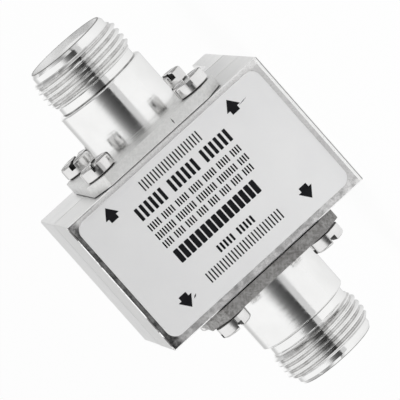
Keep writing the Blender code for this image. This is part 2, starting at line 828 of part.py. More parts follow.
def make_jacks():
    shell = jack_mesh()
    contact = contact_mesh()
    for side, end in ((1, "antenna"), (-1, "equipment")):
        finish(place(new_object(end + "_jack", shell, PARTS), jack_placement(side)), PLATED_BRASS)
        finish(place(new_object(end + "_contact", contact, PARTS), jack_placement(side)), GOLD_PLATE)
        make_insulator(end + "_insulator", side)


def drop_blanks():
    """The blanks have been copied into the finished pieces, so they leave the scene."""
    for blank in list(BLANKS.objects):
        bpy.data.objects.remove(blank, do_unlink=True)
    bpy.data.collections.remove(BLANKS)


make_housing()
make_cover()
make_label()
make_bracket()
make_jacks()
make_screws()
make_strips()
make_capacitor()
make_gas_tube()
make_clip()
make_coil()
drop_blanks()
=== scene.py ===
"""Dresses the coaxial surge protector: its finishes, its fine shapes, the studio and the camera.

Metres, in the part's own frame: the jack axis is parallel to X, the label faces -Y and the
part stands on Z = 0.
"""
import math

import bmesh
import bpy
from mathutils import Matrix, Vector


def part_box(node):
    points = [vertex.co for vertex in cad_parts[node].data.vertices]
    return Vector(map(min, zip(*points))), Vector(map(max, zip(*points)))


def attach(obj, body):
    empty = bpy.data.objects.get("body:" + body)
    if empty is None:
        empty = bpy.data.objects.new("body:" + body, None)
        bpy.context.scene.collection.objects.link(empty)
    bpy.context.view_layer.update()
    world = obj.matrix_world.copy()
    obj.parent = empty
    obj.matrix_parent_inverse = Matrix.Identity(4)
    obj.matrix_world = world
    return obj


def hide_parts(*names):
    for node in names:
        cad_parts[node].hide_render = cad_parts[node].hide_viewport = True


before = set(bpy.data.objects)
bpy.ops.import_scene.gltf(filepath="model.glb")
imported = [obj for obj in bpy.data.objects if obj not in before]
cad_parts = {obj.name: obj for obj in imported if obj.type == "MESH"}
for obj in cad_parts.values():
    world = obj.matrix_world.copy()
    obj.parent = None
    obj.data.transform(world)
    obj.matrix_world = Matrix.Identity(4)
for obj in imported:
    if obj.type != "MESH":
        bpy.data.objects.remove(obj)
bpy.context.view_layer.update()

# Camera, as an aim point and a direction
CAMERA_AIM = (0.0002, 0.0, 0.0193)
CAMERA_DISTANCE = 0.9413
CAMERA_AZIMUTH = 8.10
CAMERA_ELEVATION = 5.97
CAMERA_ROLL = -132.34
CAMERA_LENS = 558.0
SENSOR_WIDTH = 36.0

# Housing's front half, which carries the label
SIDE_WALL = 0.0034
JACK_WALL = 0.0046
FRONT_WALL = 0.0020
CAVITY_RADIUS = 0.0025
HOUSING_EDGE = 0.00016
PARTING_STEP = 0.00002
PARTING_WIDTH = 0.0002
PARTING_SEAM = 0.00002
FOOT_BEVEL_WIDTH = 0.0006
FOOT_BEVEL_DEPTH = 0.00024
FOOT_SHADE = 0.00014

# Jack shell, with lengths measured from the flange's seat out to the rim
SEAT_GAP = 0.0003
FLANGE_SEAM = 0.00012
HEAD_SEAM = 0.00002
HEAD_UNDERCUT = 0.00026
JACK_REACH = 0.0188
FLANGE_SIDE = 0.0256
FLANGE_THICKNESS = 0.0018
FLANGE_CHAMFER = 0.0030
FLANGE_EDGE = 0.00012
FLANGE_SCREW_SPACING = 0.0189
BARREL_DIAMETER = 0.0158
BARREL_LENGTH = 0.0109
BARREL_EDGE = 0.00025
RELIEF_LENGTH = 0.0016
RELIEF_DIAMETER = 0.0142
THREAD_DIAMETER = 0.0158
THREAD_PITCH = 0.025400 / 24
LIP_LENGTH = 0.0014
LIP_DIAMETER = 0.0140
RIM_DIAMETER = 0.01335
RIM_CHAMFER_LENGTH = 0.0006
RIM_EDGE = 0.00011
FLARE_DIAMETER = 0.0127
FLARE_DEPTH = 0.0009
MOUTH_DIAMETER = 0.0108
MOUTH_DEPTH = 0.0016
BORE_DIAMETER = 0.0081
SPIGOT_DIAMETER = 0.0112
SPIGOT_LENGTH = 0.0015
COUNTERBORE_DIAMETER = 0.0094
COUNTERBORE_DEPTH = 0.0040
FINE_EDGE = 0.00006

# Insulator and centre contact
INSULATOR_RECESS = 0.0092
NECK_DIAMETER = 0.0062
NECK_LENGTH = 0.0049
CONTACT_DIAMETER = 0.0030
CONTACT_RECESS = 0.0050
SOCKET_DIAMETER = 0.00165
SOCKET_DEPTH = 0.0060
SOCKET_SLOT_WIDTH = 0.0004
SOCKET_SLOT_LENGTH = 0.0036
TAIL_DIAMETER = 0.0016

# Screws
SCREW_HEAD_DIAMETER = 0.0055
SCREW_HEAD_HEIGHT = 0.0019
SCREW_HEAD_CROWN = 0.00045
CROWN_TOP_SHARE = 0.7
SCREW_HEAD_INSET = 0.0006
SCREW_DIAMETER = 0.0026
SCREW_LENGTH = 0.0056
SCREW_TIP_CHAMFER = 0.0003
SLOT_WIDTH = 0.0009
SLOT_DEPTH = 0.0010
SLOT_FLARE = 0.00012
CROSS_LENGTH = 0.0061
SCREW_SPINS = (100, 64, 78, 83)

# Label and its print
LABEL_RADIUS = 0.0017
LABEL_EDGE = 0.00007
LABEL_SEAM = 0.00001
PRINT_HEIGHT = 0.00002
ARROW_LENGTH = 0.0024
ARROW_HEAD = 0.0017
ARROW_HALF = 0.00128
ARROW_STEM = 0.00070

# Facets
ROUND_SEGMENTS = 144
SCREW_SEGMENTS = 64
CORNER_STEPS = 12
FILLET_STEPS = 3
CROWN_STEPS = 8
SMOOTH_ANGLE = math.radians(30)
WELD = 0.000002

# How squarely a facet faces out to count as a flat face, a back, a screw's top or a bevel
FLAT_FACING = 0.98
BACK_FACING = 0.9
TOP_FACING = 0.8
BEVEL_FACING = 0.2

# Thread form, as shares of the pitch: a 60 degree V with a flat crest and root
FORM_DEPTH = 0.5413
FORM_FLANK = 0.3125
FORM_CREST = 0.125

# Thread's root radius, and its start and end along the jack
THREAD_ROOT = THREAD_DIAMETER / 2 - FORM_DEPTH * THREAD_PITCH
THREAD_START = BARREL_LENGTH + RELIEF_LENGTH
THREAD_END = JACK_REACH - LIP_LENGTH

# Painted light and shade, dirt, haze and wear in the finishes
SEAM_SHADE = 0.0007
SEAM_SHADE_FADE = 0.0004
EDGE_LINE = 0.00009
HAZE = 0.07
HAZE_HEIGHTS = (FLANGE_THICKNESS + 0.002, 0.007)
DIRT_AND_SHADE_DEPTH = 0.00018
THREAD_DIRT_AND_SHADE_COLOUR = (0.48, 0.475, 0.47)
PAINTED_SHADE_COLOUR = (0.10, 0.098, 0.095)
DENT_SHADE_COLOUR = (0.06, 0.058, 0.055)
DENT_STRETCH = 5.0
DENT_EDGE = 0.0002
BORDER_DRIFT = 0.0004
BORDER_SIDE_LIGHT = (0.0104, 0.0112)
BORDER_TARNISH = (0.0364, 0.0373)
BORDER_UPPER = (0.030, 0.036)
BORDER_WORN = (0.0012, 0.0018)
EDGE_REACH = 0.0004

BLACK = (0.0, 0.0, 0.0)
WHITE = (1.0, 1.0, 1.0, 1.0)
MM = 0.001
HERE = Matrix()

# Turns a shape drawn in XY: Y and Z change places, or X, Y and Z each move on by one
SWAP_Y_AND_Z = Matrix(((1, 0, 0, 0), (0, 0, 1, 0), (0, 1, 0, 0), (0, 0, 0, 1)))
NEXT_AXIS = Matrix(((0, 0, 1, 0), (1, 0, 0, 0), (0, 1, 0, 0), (0, 0, 0, 1)))

# The two jacks: the way each one points along X, and its name
ENDS = ((1, "antenna"), (-1, "equipment"))


def new_object(name, data, placement=HERE):
    obj = bpy.data.objects.new(name, data)
    bpy.context.scene.collection.objects.link(obj)
    obj.matrix_world = placement
    return obj


def mesh_from(shape, name):
    mesh = bpy.data.meshes.new(name)
    bmesh.ops.recalc_face_normals(shape, faces=shape.faces)
    shape.to_mesh(mesh)
    shape.free()
    return mesh


def filleted(profile, radius):
    """Rounds the inner corners of an open profile, as far as its neighbours leave room."""
    result = [profile[0]]
    for before, corner, after in zip(profile, profile[1:], profile[2:]):
        corner, before, after = Vector(corner), Vector(before), Vector(after)
        reach = min(radius, (before - corner).length * 0.45, (after - corner).length * 0.45)
        start = corner + (before - corner).normalized() * reach
        end = corner + (after - corner).normalized() * reach
        for step in range(FILLET_STEPS + 1):
            share = step / FILLET_STEPS
            point = start.lerp(corner, share).lerp(corner.lerp(end, share), share)
            result.append(tuple(point))
    result.append(profile[-1])
    return result


def swept(profile, angle, steps, is_ring=False, **settings):
    """A shape swept about Z from (radius, height) points."""
    shape = bmesh.new()
    points = [shape.verts.new((radius, 0, height)) for radius, height in profile]
    edges = [shape.edges.new(pair) for pair in zip(points, points[1:])]
    if is_ring:
        edges.append(shape.edges.new((points[-1], points[0])))
    place = {"cent": (0, 0, 0), "axis": (0, 0, 1)}
    bmesh.ops.spin(shape, geom=points + edges, angle=angle, steps=steps, **place, **settings)
    bmesh.ops.remove_doubles(shape, verts=shape.verts, dist=WELD)
    return shape


def turned(name, profile, segments, is_ring=False):
    """A mesh of revolution about Z."""
    return mesh_from(swept(profile, math.tau, segments, is_ring, use_merge=True), name)


def extrude(shape, face, vector):
    grown = bmesh.ops.extrude_face_region(shape, geom=[face])
    moved = [item for item in grown["geom"] if isinstance(item, bmesh.types.BMVert)]
    bmesh.ops.translate(shape, vec=vector, verts=moved)


def prism(name, outline, low, high, edge=0.0):
    """A flat outline in XY, given a thickness from low to high, with rounded rims."""
    shape = bmesh.new()
    base = shape.faces.new([shape.verts.new((x, y, low)) for x, y in outline])
    extrude(shape, base, (0, 0, high - low))
    if edge:
        rims = [e for e in shape.edges if abs(e.verts[0].co.z - e.verts[1].co.z) < WELD]
        bmesh.ops.bevel(
            shape, geom=rims, offset=edge, offset_type="OFFSET", segments=2, profile=0.5, affect="EDGES"
        )
    return mesh_from(shape, name)


def block(low, high):
    shape = bmesh.new()
    bmesh.ops.create_cube(shape, size=1.0)
    bmesh.ops.scale(shape, vec=[b - a for a, b in zip(low, high)], verts=shape.verts)
    bmesh.ops.translate(shape, vec=[(a + b) / 2 for a, b in zip(low, high)], verts=shape.verts)
    return shape


def combined(name, mesh, others, operation):
    """The mesh after Boolean steps with each of the others, whose objects are removed."""
    base = new_object(name, mesh)
    tools = []
    for other, placement in others:
        tool = new_object(name + "_tool", other, placement)
        tools.append(tool)
        modifier = base.modifiers.new("Step", "BOOLEAN")
        modifier.object = tool
        modifier.operation = operation
        modifier.solver = "EXACT"
    bpy.context.view_layer.update()
    graph = bpy.context.evaluated_depsgraph_get()
    result = bpy.data.meshes.new_from_object(base.evaluated_get(graph))
    result.name = name
    for obj in [base] + tools:
        bpy.data.objects.remove(obj, do_unlink=True)
    return result


def cleaned(mesh):
    """Welds what the Boolean steps left doubled and shades round faces smooth."""
    shape = bmesh.new()
    shape.from_mesh(mesh)
    bmesh.ops.remove_doubles(shape, verts=shape.verts, dist=WELD)
    bmesh.ops.dissolve_degenerate(shape, edges=shape.edges, dist=WELD / 10)
    shape.to_mesh(mesh)
    shape.free()
    mesh.shade_smooth()
    mesh.set_sharp_from_angle(angle=SMOOTH_ANGLE)
    return mesh


def arc(centre, radius, start, end, steps):
    angles = [math.radians(start + (end - start) * step / steps) for step in range(steps + 1)]
    return [(centre[0] + radius * math.cos(a), centre[1] + radius * math.sin(a)) for a in angles]


def rounded_rectangle(low, high, radius):
    corners = (
        ((high[0] - radius, high[1] - radius), 0),
        ((low[0] + radius, high[1] - radius), 90),
        ((low[0] + radius, low[1] + radius), 180),
        ((high[0] - radius, low[1] + radius), 270),
    )
    outline = []
    for centre, start in corners:
        outline += arc(centre, radius, start, start + 90, CORNER_STEPS)
    return outline


def corner_places(spacing):
    half = spacing / 2
    return [(half, half), (-half, half), (-half, -half), (half, -half)]


def move(x, y, z):
    return Matrix.Translation(Vector((x, y, z)))


def rotation(degrees, axis):
    return Matrix.Rotation(math.radians(degrees), 4, axis)


class Nodes:
    """The node tree of a material or a world, put together a node at a time."""

    def __init__(self, owner):
        owner.use_nodes = True
        self.tree = owner.node_tree

    def add(self, kind, inputs=(), **settings):
        node = self.tree.nodes.new(kind)
        for name, value in settings.items():
            setattr(node, name, value)
        for name, value in dict(inputs).items():
            if isinstance(value, bpy.types.NodeSocket):
                self.tree.links.new(value, node.inputs[name])
            else:
                node.inputs[name].default_value = value
        return node

    def ramp(self, socket, low, high, start, end):
        """Maps a socket's range from low to high onto start to end."""
        return self.add(
            "ShaderNodeMapRange",
            {"Value": socket, "From Min": low, "From Max": high, "To Min": start, "To Max": end},
        ).outputs["Result"]

    def maths(self, operation, first, second):
        return self.add("ShaderNodeMath", {0: first, 1: second}, operation=operation).outputs[0]

    def product(self, first, *others):
        for other in others:
            first = self.maths("MULTIPLY", first, other)
        return first

    def weighted(self, *parts):
        """The sum of (socket, share) pairs."""
        terms = [self.maths("MULTIPLY", socket, share) for socket, share in parts]
        total = terms[0]
        for term in terms[1:]:
            total = self.maths("ADD", total, term)
        return total

    def window(self, socket, rise, fall):
        """1 between the range over which it rises and the one over which it falls, else 0."""
        return self.product(self.ramp(socket, *rise, 0.0, 1.0), self.ramp(socket, *fall, 1.0, 0.0))


class Shader(Nodes):
    """A finish, with its patterns in the object's own coordinates."""

    def __init__(self):
        self.material = bpy.data.materials.new("finish")
        super().__init__(self.material)
        self.shader = self.tree.nodes["Principled BSDF"]
        self.place = self.add("ShaderNodeTexCoord").outputs["Object"]

    def set(self, **values):
        """Constant values, on the shader's own sockets."""
        for name, value in values.items():
            self.shader.inputs[name.replace("_", " ")].default_value = value

    def link(self, socket, name):
        self.tree.links.new(socket, self.shader.inputs[name])

    def split(self):
        """Object coordinates, one axis at a time."""
        return self.add("ShaderNodeSeparateXYZ", {0: self.place}).outputs

    def stretched(self, scale):
        """Object coordinates scaled by a different amount along each axis."""
        return self.add("ShaderNodeMapping", {"Vector": self.place, "Scale": scale}).outputs["Vector"]

    def hatched(self, slant, along, across):
        """Object coordinates for strokes on the front face, at a slant in degrees from X."""
        inputs = {
            "Vector": self.place,
            "Rotation": (0, math.radians(slant), 0),
            "Scale": (1 / along, 1 / across, 1 / across),
        }
        return self.add("ShaderNodeMapping", inputs, vector_type="TEXTURE").outputs["Vector"]

    def noise(self, scale, detail=3.0, roughness=0.5, vector=None, distortion=0.0):
        inputs = {
            "Vector": vector or self.place,
            "Scale": scale,
            "Detail": detail,
            "Roughness": roughness,
            "Distortion": distortion,
        }
        return self.add("ShaderNodeTexNoise", inputs).outputs["Fac"]

    def blend(self, share, first, second):
        """A mix of two colours, each of them a socket or three values."""
        colours = [c if isinstance(c, bpy.types.NodeSocket) else (*c, 1.0) for c in (first, second)]
        inputs = {0: share, 6: colours[0], 7: colours[1]}
        return self.add("ShaderNodeMix", inputs, data_type="RGBA").outputs[2]

    def bump(self, height, distance, strength=1.0, below=None):
        inputs = {"Height": height, "Distance": distance, "Strength": strength}
        if below is not None:
            inputs["Normal"] = below
        return self.add("ShaderNodeBump", inputs).outputs["Normal"]


def satin_metal(light, dark, roughness, grain, lines, seam=None):
    """A cast or milled light metal: mottled, with fine grain and tool lines.

    A seam, given as its Y and its top, has painted shade along it.
    """
    paint = Shader()
    cloud = paint.noise(260.0, 4.0, 0.6)
    speck = paint.noise(2600.0, 5.0, 0.65)
    streak = paint.noise(1.0, 2.0, 0.5, paint.stretched(lines))
    tone = paint.weighted((cloud, 0.5), (speck, 0.5))
    colour = paint.blend(paint.ramp(tone, 0.36, 0.64, 0.0, 1.0), dark, light)
    if seam is not None:
        # Painted shade along the housing's back edge beside the bracket
        line, top = seam
        split = paint.split()
        start = paint.ramp(split["Y"], line - SEAM_SHADE, line - SEAM_SHADE * 0.8, 0.0, 0.85)
        end = paint.ramp(split["Y"], line - WELD * 4, line - WELD * 2, 1.0, 0.0)
        below = paint.ramp(split["Z"], top - SEAM_SHADE_FADE, top, 1.0, 0.0)
        colour = paint.blend(paint.product(start, end, below), colour, PAINTED_SHADE_COLOUR)
    paint.link(colour, "Base Color")
    rough = paint.weighted((speck, 0.6), (streak, 0.4))
    paint.link(paint.ramp(rough, 0.3, 0.7, roughness - 0.08, roughness + 0.08), "Roughness")
    fine = paint.bump(speck, grain)
    paint.link(paint.bump(streak, grain, 0.6, fine), "Normal")
    paint.set(Metallic=1.0)
    return paint.material


def milled_metal(light, dark, roughness, grain, metallic, light_and_wear=False, dent_shade=None):
    """A flat milled face: crossing slanted tool marks, fine pits, worn patches and, as options, painted
    light with wear on the border and the painted shade of a dented spot.

    The dented spot is given as its X, its Z and its size.
    """
    paint = Shader()
    wide = paint.noise(170.0, 2.0, 0.5)
    patches = paint.noise(1500.0, 4.0, 0.7, distortion=0.2)
    pits = paint.noise(5200.0, 4.0, 0.7)
    strokes = paint.maths(
        "MAXIMUM",
        paint.noise(1.0, 3.0, 0.6, paint.hatched(38, 400.0, 3200.0)),
        paint.noise(1.0, 3.0, 0.6, paint.hatched(-52, 400.0, 3200.0)),
    )
    tone = paint.weighted((patches, 0.4), (strokes, 0.4), (wide, 0.2))
    colour = paint.blend(paint.ramp(tone, 0.42, 0.60, 0.0, 1.0), dark, light)
    # Painted light and wear on the border
    if light_and_wear:
        colour = paint.blend(border_light_and_wear(paint), BLACK, colour)
    # Painted shade of a dented spot
    if dent_shade:
        colour = paint.blend(dent_shade_share(paint, *dent_shade), colour, DENT_SHADE_COLOUR)
    paint.link(colour, "Base Color")
    paint.link(paint.ramp(patches, 0.35, 0.65, roughness + 0.12, roughness - 0.06), "Roughness")
    paint.link(paint.bump(strokes, grain, 1.0, paint.bump(pits, grain * 0.6)), "Normal")
    paint.set(Metallic=metallic)
    return paint.material


def dent_shade_share(paint, x, z, size):
    """How dark the painted shade of a dented spot on the flange's front edge is: a narrow diamond that is
    longer in Z.
    """
    split = paint.split()
    aside = paint.maths("ABSOLUTE", paint.maths("SUBTRACT", split["X"], x), 0.0)
    along = paint.maths("ABSOLUTE", paint.maths("SUBTRACT", split["Z"], z), 0.0)
    away = paint.maths("ADD", paint.maths("MULTIPLY", aside, DENT_STRETCH), along)
    edge = -FLANGE_SIDE / 2
    front = paint.ramp(split["Y"], edge + DENT_EDGE, edge + DENT_EDGE * 1.5, 1.0, 0.0)
    return paint.product(paint.ramp(away, size * 0.7, size, 0.9, 0.0), front)


def border_light_and_wear(paint):
    """How bright the bare border is: painted light that is brighter towards the foot and along the antenna
    side, tarnished and chipped along the top, with a darker line inside the top and upper antenna-side
    edges.
    """
    low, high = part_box("cover_plate")
    split = paint.split()
    drift = paint.ramp(paint.noise(600.0, 3.0, 0.6), 0.3, 0.7, -BORDER_DRIFT, BORDER_DRIFT)
    height = paint.maths("ADD", split["Z"], drift)
    # Painted light: brighter towards the foot, and along the antenna side
    rise = paint.ramp(height, 0.0, BORDER_UPPER[1], 0.76, 0.50)
    side_light = paint.ramp(paint.maths("ADD", split["X"], drift), *BORDER_SIDE_LIGHT, 0.0, 0.90)
    patchy = paint.ramp(paint.noise(900.0, 4.0, 0.7), 0.35, 0.62, 0.08, 0.52)
    tarnish = paint.ramp(height, *BORDER_TARNISH, 1.0, patchy)
    chipped = paint.ramp(patchy, 0.08, 0.52, 0.62, 1.2)
    worn = paint.ramp(split["X"], low.x + BORDER_WORN[0], low.x + BORDER_WORN[1], chipped, 1.0)
    # A darker line just inside the top edge and the upper antenna-side edge
    inner, outer = HOUSING_EDGE + EDGE_LINE * 2, HOUSING_EDGE + EDGE_LINE
    upper = paint.ramp(split["Z"], *BORDER_UPPER, 0.0, 1.0)
    beside = paint.ramp(split["X"], high.x - inner, high.x - outer, 0.0, 1.0)
    above = paint.ramp(split["Z"], high.z - inner, high.z - outer, 0.0, 1.0)
    line = paint.maths("MAXIMUM", paint.product(upper, beside), above)
    edge_line = paint.product(line, paint.ramp(paint.noise(260.0, 3.0, 0.6), 0.35, 0.65, 0.2, 0.85))
    shade = paint.product(paint.maths("MAXIMUM", rise, side_light), tarnish)
    return paint.product(shade, worn, paint.maths("SUBTRACT", 1.0, edge_line))


def bright_edge(light, dark):
    """The bare bright bevel round the front face, chipped and dark in spots along the top, with painted
    shade along its foot.
    """
    paint = Shader()
    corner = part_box("cover_plate")[1]
    split = paint.split()
    chips = paint.ramp(paint.noise(280.0, 4.0, 0.7), 0.55, 0.60, 0.0, 1.0)
    near_top = paint.ramp(split["Z"], corner.z - EDGE_REACH * 1.5, corner.z - EDGE_REACH, 0.0, 0.9)
    # Painted shade along the bevel's foot, where it meets the floor
    foot = paint.ramp(split["Z"], FOOT_SHADE, FOOT_SHADE * 1.2, 0.5, 0.0)
    fine = paint.noise(2600.0, 4.0, 0.6)
    share = paint.maths("MAXIMUM", paint.product(chips, near_top), foot)
    paint.link(paint.blend(share, light, dark), "Base Color")
    paint.link(paint.ramp(fine, 0.3, 0.7, 0.26, 0.42), "Roughness")
    paint.link(paint.bump(fine, 0.000004), "Normal")
    bare = paint.ramp(split["X"], corner.x - EDGE_REACH * 1.5, corner.x - EDGE_REACH, 0.55, 0.0)
    paint.link(bare, "Metallic")
    return paint.material


def turned_metal(light, dark, low, high, ring_depth, is_threaded=False):
    """Bright plated metal with turning rings about its own Z axis, and dull thread roots darkened by dirt
    and painted shade, with painted shade in the relief groove's corner.
    """
    paint = Shader()
    rings = paint.noise(1.0, 4.0, 0.65, paint.stretched((40.0, 40.0, 1700.0)))
    cloud = paint.noise(160.0, 3.0, 0.55)
    colour = paint.blend(paint.ramp(cloud, 0.35, 0.7, 0.0, 1.0), dark, light)
    rough = paint.ramp(rings, 0.3, 0.7, low, high)
    if is_threaded:
        # Dirt and painted shade in the thread's roots
        colour = paint.blend(thread_dirt_and_shade(paint), colour, THREAD_DIRT_AND_SHADE_COLOUR)
        # Painted shade in the relief groove's corner
        colour = paint.blend(relief_shade(paint), colour, PAINTED_SHADE_COLOUR)
        rough = paint.maths("ADD", rough, paint.ramp(paint.split()["Z"], *HAZE_HEIGHTS, HAZE, 0.0))
    paint.link(colour, "Base Color")
    paint.link(rough, "Roughness")
    paint.link(paint.bump(rings, ring_depth), "Normal")
    paint.set(Metallic=1.0)
    return paint.material


def ring_dirt_and_shade(paint, radii, heights, patchy):
    """How dark a ring about Z is, from dirt and painted shade, given its windows of radius and of height and
    its patches.
    """
    split = paint.split()
    squares = [paint.maths("POWER", split[axis], 2.0) for axis in "XY"]
    radius = paint.maths("SQRT", paint.maths("ADD", *squares), 0.0)
    return paint.product(paint.window(radius, *radii), patchy, paint.window(split["Z"], *heights))


def thread_dirt_and_shade(paint):
    """Dirt and painted shade at the thread's root, fading out up its flanks."""
    ring, depth = THREAD_ROOT, DIRT_AND_SHADE_DEPTH
    radii = (ring - depth, ring - depth / 2), (ring + depth / 4, ring + depth)
    heights = (THREAD_START, THREAD_START + depth), (THREAD_END - depth, THREAD_END)
    return ring_dirt_and_shade(paint, radii, heights, paint.ramp(paint.noise(500.0, 3.0, 0.6), 0.3, 0.7, 0.45, 1.0))


def relief_shade(paint):
    """Painted shade in the corner of the relief groove, next to the barrel."""
    ring, edge, corner = RELIEF_DIAMETER / 2, FINE_EDGE, BARREL_LENGTH
    radii = (ring - edge * 2, ring - edge), (ring + edge, ring + edge * 2)
    heights = (corner - WELD, corner), (corner + DIRT_AND_SHADE_DEPTH * 0.8, corner + DIRT_AND_SHADE_DEPTH * 1.4)
    return ring_dirt_and_shade(paint, radii, heights, paint.ramp(paint.noise(300.0, 3.0, 0.6), 0.3, 0.6, 0.5, 1.0))


def mottled_plastic(light, dark, roughness, scale, depth, light_fade=None, **settings):
    """A smooth non-metal with faint clouds of tone, a fine uneven skin and, if asked, painted light that
    brightens it slowly along its X.
    """
    paint = Shader()
    paint.set(**settings)
    cloud = paint.noise(scale, 4.0, 0.55)
    skin = paint.noise(scale * 12, 3.0, 0.6)
    colour = paint.blend(paint.ramp(cloud, 0.3, 0.7, 0.0, 1.0), dark, light)
    # Painted light across the part, brighter towards +X
    if light_fade:
        reach, level = light_fade
        colour = paint.blend(paint.ramp(paint.split()["X"], -reach, reach, level, 1.0), BLACK, colour)
    paint.link(colour, "Base Color")
    paint.link(paint.ramp(skin, 0.3, 0.7, roughness - 0.05, roughness + 0.05), "Roughness")
    paint.link(paint.bump(skin, depth), "Normal")
    return paint.material


# Tool lines: how fine the grain is along X, Y and Z
CAST_LINES = (120.0, 2600.0, 120.0)

MATERIALS = {
    # The housing, with painted shade along its back edge beside the bracket
    "cast_metal": satin_metal(
        (0.76, 0.76, 0.755),
        (0.69, 0.69, 0.69),
        0.36,
        0.000003,
        CAST_LINES,
        seam=(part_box("housing")[1].y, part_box("mounting_bracket")[1].z),
    ),
    "bracket_metal": satin_metal((0.93, 0.93, 0.925), (0.86, 0.86, 0.86), 0.36, 0.000003, CAST_LINES),
    "cover_metal": satin_metal((0.73, 0.73, 0.725), (0.66, 0.66, 0.655), 0.38, 0.000003, CAST_LINES),
    # The front border: painted light, with tarnish, chips and a darker edge line
    "milled_face": milled_metal((0.98, 0.975, 0.97), (0.80, 0.79, 0.79), 0.30, 0.000006, 0.2, light_and_wear=True),
    # Painted shade: near-black metal for the flange's back in its gap, the screws' slots and beneath their
    # heads
    "painted_shade_metal": satin_metal(
        (0.10, 0.098, 0.095), (0.04, 0.039, 0.038), 0.45, 0.000006, (900.0, 900.0, 900.0)
    ),
    # The antenna flange, with the painted shade of a dented spot on its front edge
    "milled_plate": milled_metal(
        (0.80, 0.80, 0.79), (0.68, 0.68, 0.67), 0.36, 0.000006, 0.25, dent_shade=(0.0034, 0.0009, 0.0007)
    ),
    # Painted shade: the equipment flange, a darker copy of the antenna flange's finish
    "painted_shade_plate": milled_metal((0.38, 0.375, 0.37), (0.15, 0.145, 0.14), 0.34, 0.000014, 0.25),
    "turned_plate": turned_metal(
        (0.93, 0.93, 0.925), (0.88, 0.88, 0.875), 0.06, 0.16, 0.000034, is_threaded=True
    ),
    "bore_plate": satin_metal(
        (0.90, 0.90, 0.895), (0.84, 0.84, 0.835), 0.30, 0.0000005, (60.0, 60.0, 1200.0)
    ),
    # Painted shade on the jack's rim end
    "painted_shade_rim": satin_metal(
        (0.36, 0.355, 0.35), (0.24, 0.235, 0.23), 0.34, 0.000002, (300.0, 300.0, 3000.0)
    ),
    "bright_edge": bright_edge((0.98, 0.98, 0.975), (0.09, 0.085, 0.085)),
    # Painted shade: the screws' tops darker than their sides
    "painted_shade_screw_top": milled_metal((0.52, 0.515, 0.51), (0.24, 0.235, 0.23), 0.34, 0.000012, 1.0),
    "screw_steel": turned_metal((0.86, 0.855, 0.85), (0.74, 0.735, 0.73), 0.10, 0.22, 0.000003),
    "gold_plate": turned_metal((0.86, 0.66, 0.30), (0.76, 0.53, 0.20), 0.15, 0.30, 0.000002),
    "copper": satin_metal(
        (0.76, 0.42, 0.27), (0.62, 0.31, 0.19), 0.34, 0.000006, (300.0, 3000.0, 300.0)
    ),
    "electrode": satin_metal(
        (0.80, 0.79, 0.77), (0.66, 0.65, 0.63), 0.28, 0.000004, (300.0, 300.0, 3000.0)
    ),
    # Painted light across the label, brighter towards the picture's right
    "label_foil": mottled_plastic(
        (0.88, 0.88, 0.88), (0.85, 0.85, 0.855), 0.38, 120.0, 0.000002, light_fade=(0.018, 0.84)
    ),
    "label_ink": mottled_plastic(
        (0.010, 0.010, 0.012), (0.004, 0.004, 0.006), 0.60, 900.0, 0.000002, Specular_IOR_Level=0.15
    ),
    "white_plastic": mottled_plastic((0.86, 0.86, 0.83), (0.80, 0.80, 0.77), 0.45, 600.0, 0.000003),
    "ceramic": mottled_plastic((0.82, 0.78, 0.72), (0.76, 0.72, 0.66), 0.60, 1200.0, 0.000006),
    "blue_coat": mottled_plastic((0.10, 0.23, 0.47), (0.07, 0.17, 0.38), 0.40, 700.0, 0.000008),
}
for finish_name, material in MATERIALS.items():
    material.name = finish_name

# What each kept CAD node is finished in
NODE_FINISH = {
    "housing": "cast_metal",
    "mounting_bracket": "bracket_metal",
    "antenna_strip": "copper",
    "equipment_strip": "copper",
    "gas_tube_clip": "copper",
    "drain_coil": "copper",
    "blocking_capacitor": "blue_coat",
    "gas_tube_line_electrode": "electrode",
    "gas_tube_ground_electrode": "electrode",
    "gas_tube_ceramic": "ceramic",
}


def dress(obj, finishes):
    """Replaces the object's materials; each face keeps its place in the list."""
    mesh = obj.data
    places = [min(face.material_index, len(finishes) - 1) for face in mesh.polygons]
    mesh.materials.clear()
    for finish in finishes:
        mesh.materials.append(MATERIALS[finish])
    mesh.polygons.foreach_set("material_index", places)


def finish_piece(obj, finishes, node):
    dress(obj, finishes)
    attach(obj, "root")
    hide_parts(node)
    return obj


def end_placement(side):
    """A jack's own frame, with its origin on the flange's seat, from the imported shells."""
    low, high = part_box("antenna_jack" if side > 0 else "equipment_jack")
    rim = high.x if side > 0 else low.x
    return move(rim - side * JACK_REACH, 0, (low.z + high.z) / 2) @ rotation(90 * side, "Y")


# Nicks in the front edges, by the way the edge faces: X and Z on the front face and size, in millimetres
NICKS = {
    (0, 0, 1): (
        (9.4, 38.5, 0.42), (5.2, 38.5, 0.22), (3.0, 38.5, 0.30), (1.1, 38.5, 0.40),
        (0.3, 38.5, 0.30), (-0.8, 38.5, 0.34), (-7.5, 38.5, 0.24),
    ),
    (-1, 0, 0): ((-12.4, 31.2, 0.30), (-12.4, 24.0, 0.22), (-12.4, 9.4, 0.24)),
    (1, 0, 0): ((12.4, 30.4, 0.26),),
}
NICK_DEPTH = 0.75
NICK_HEIGHT = 0.6
NICK_DETAIL = 2


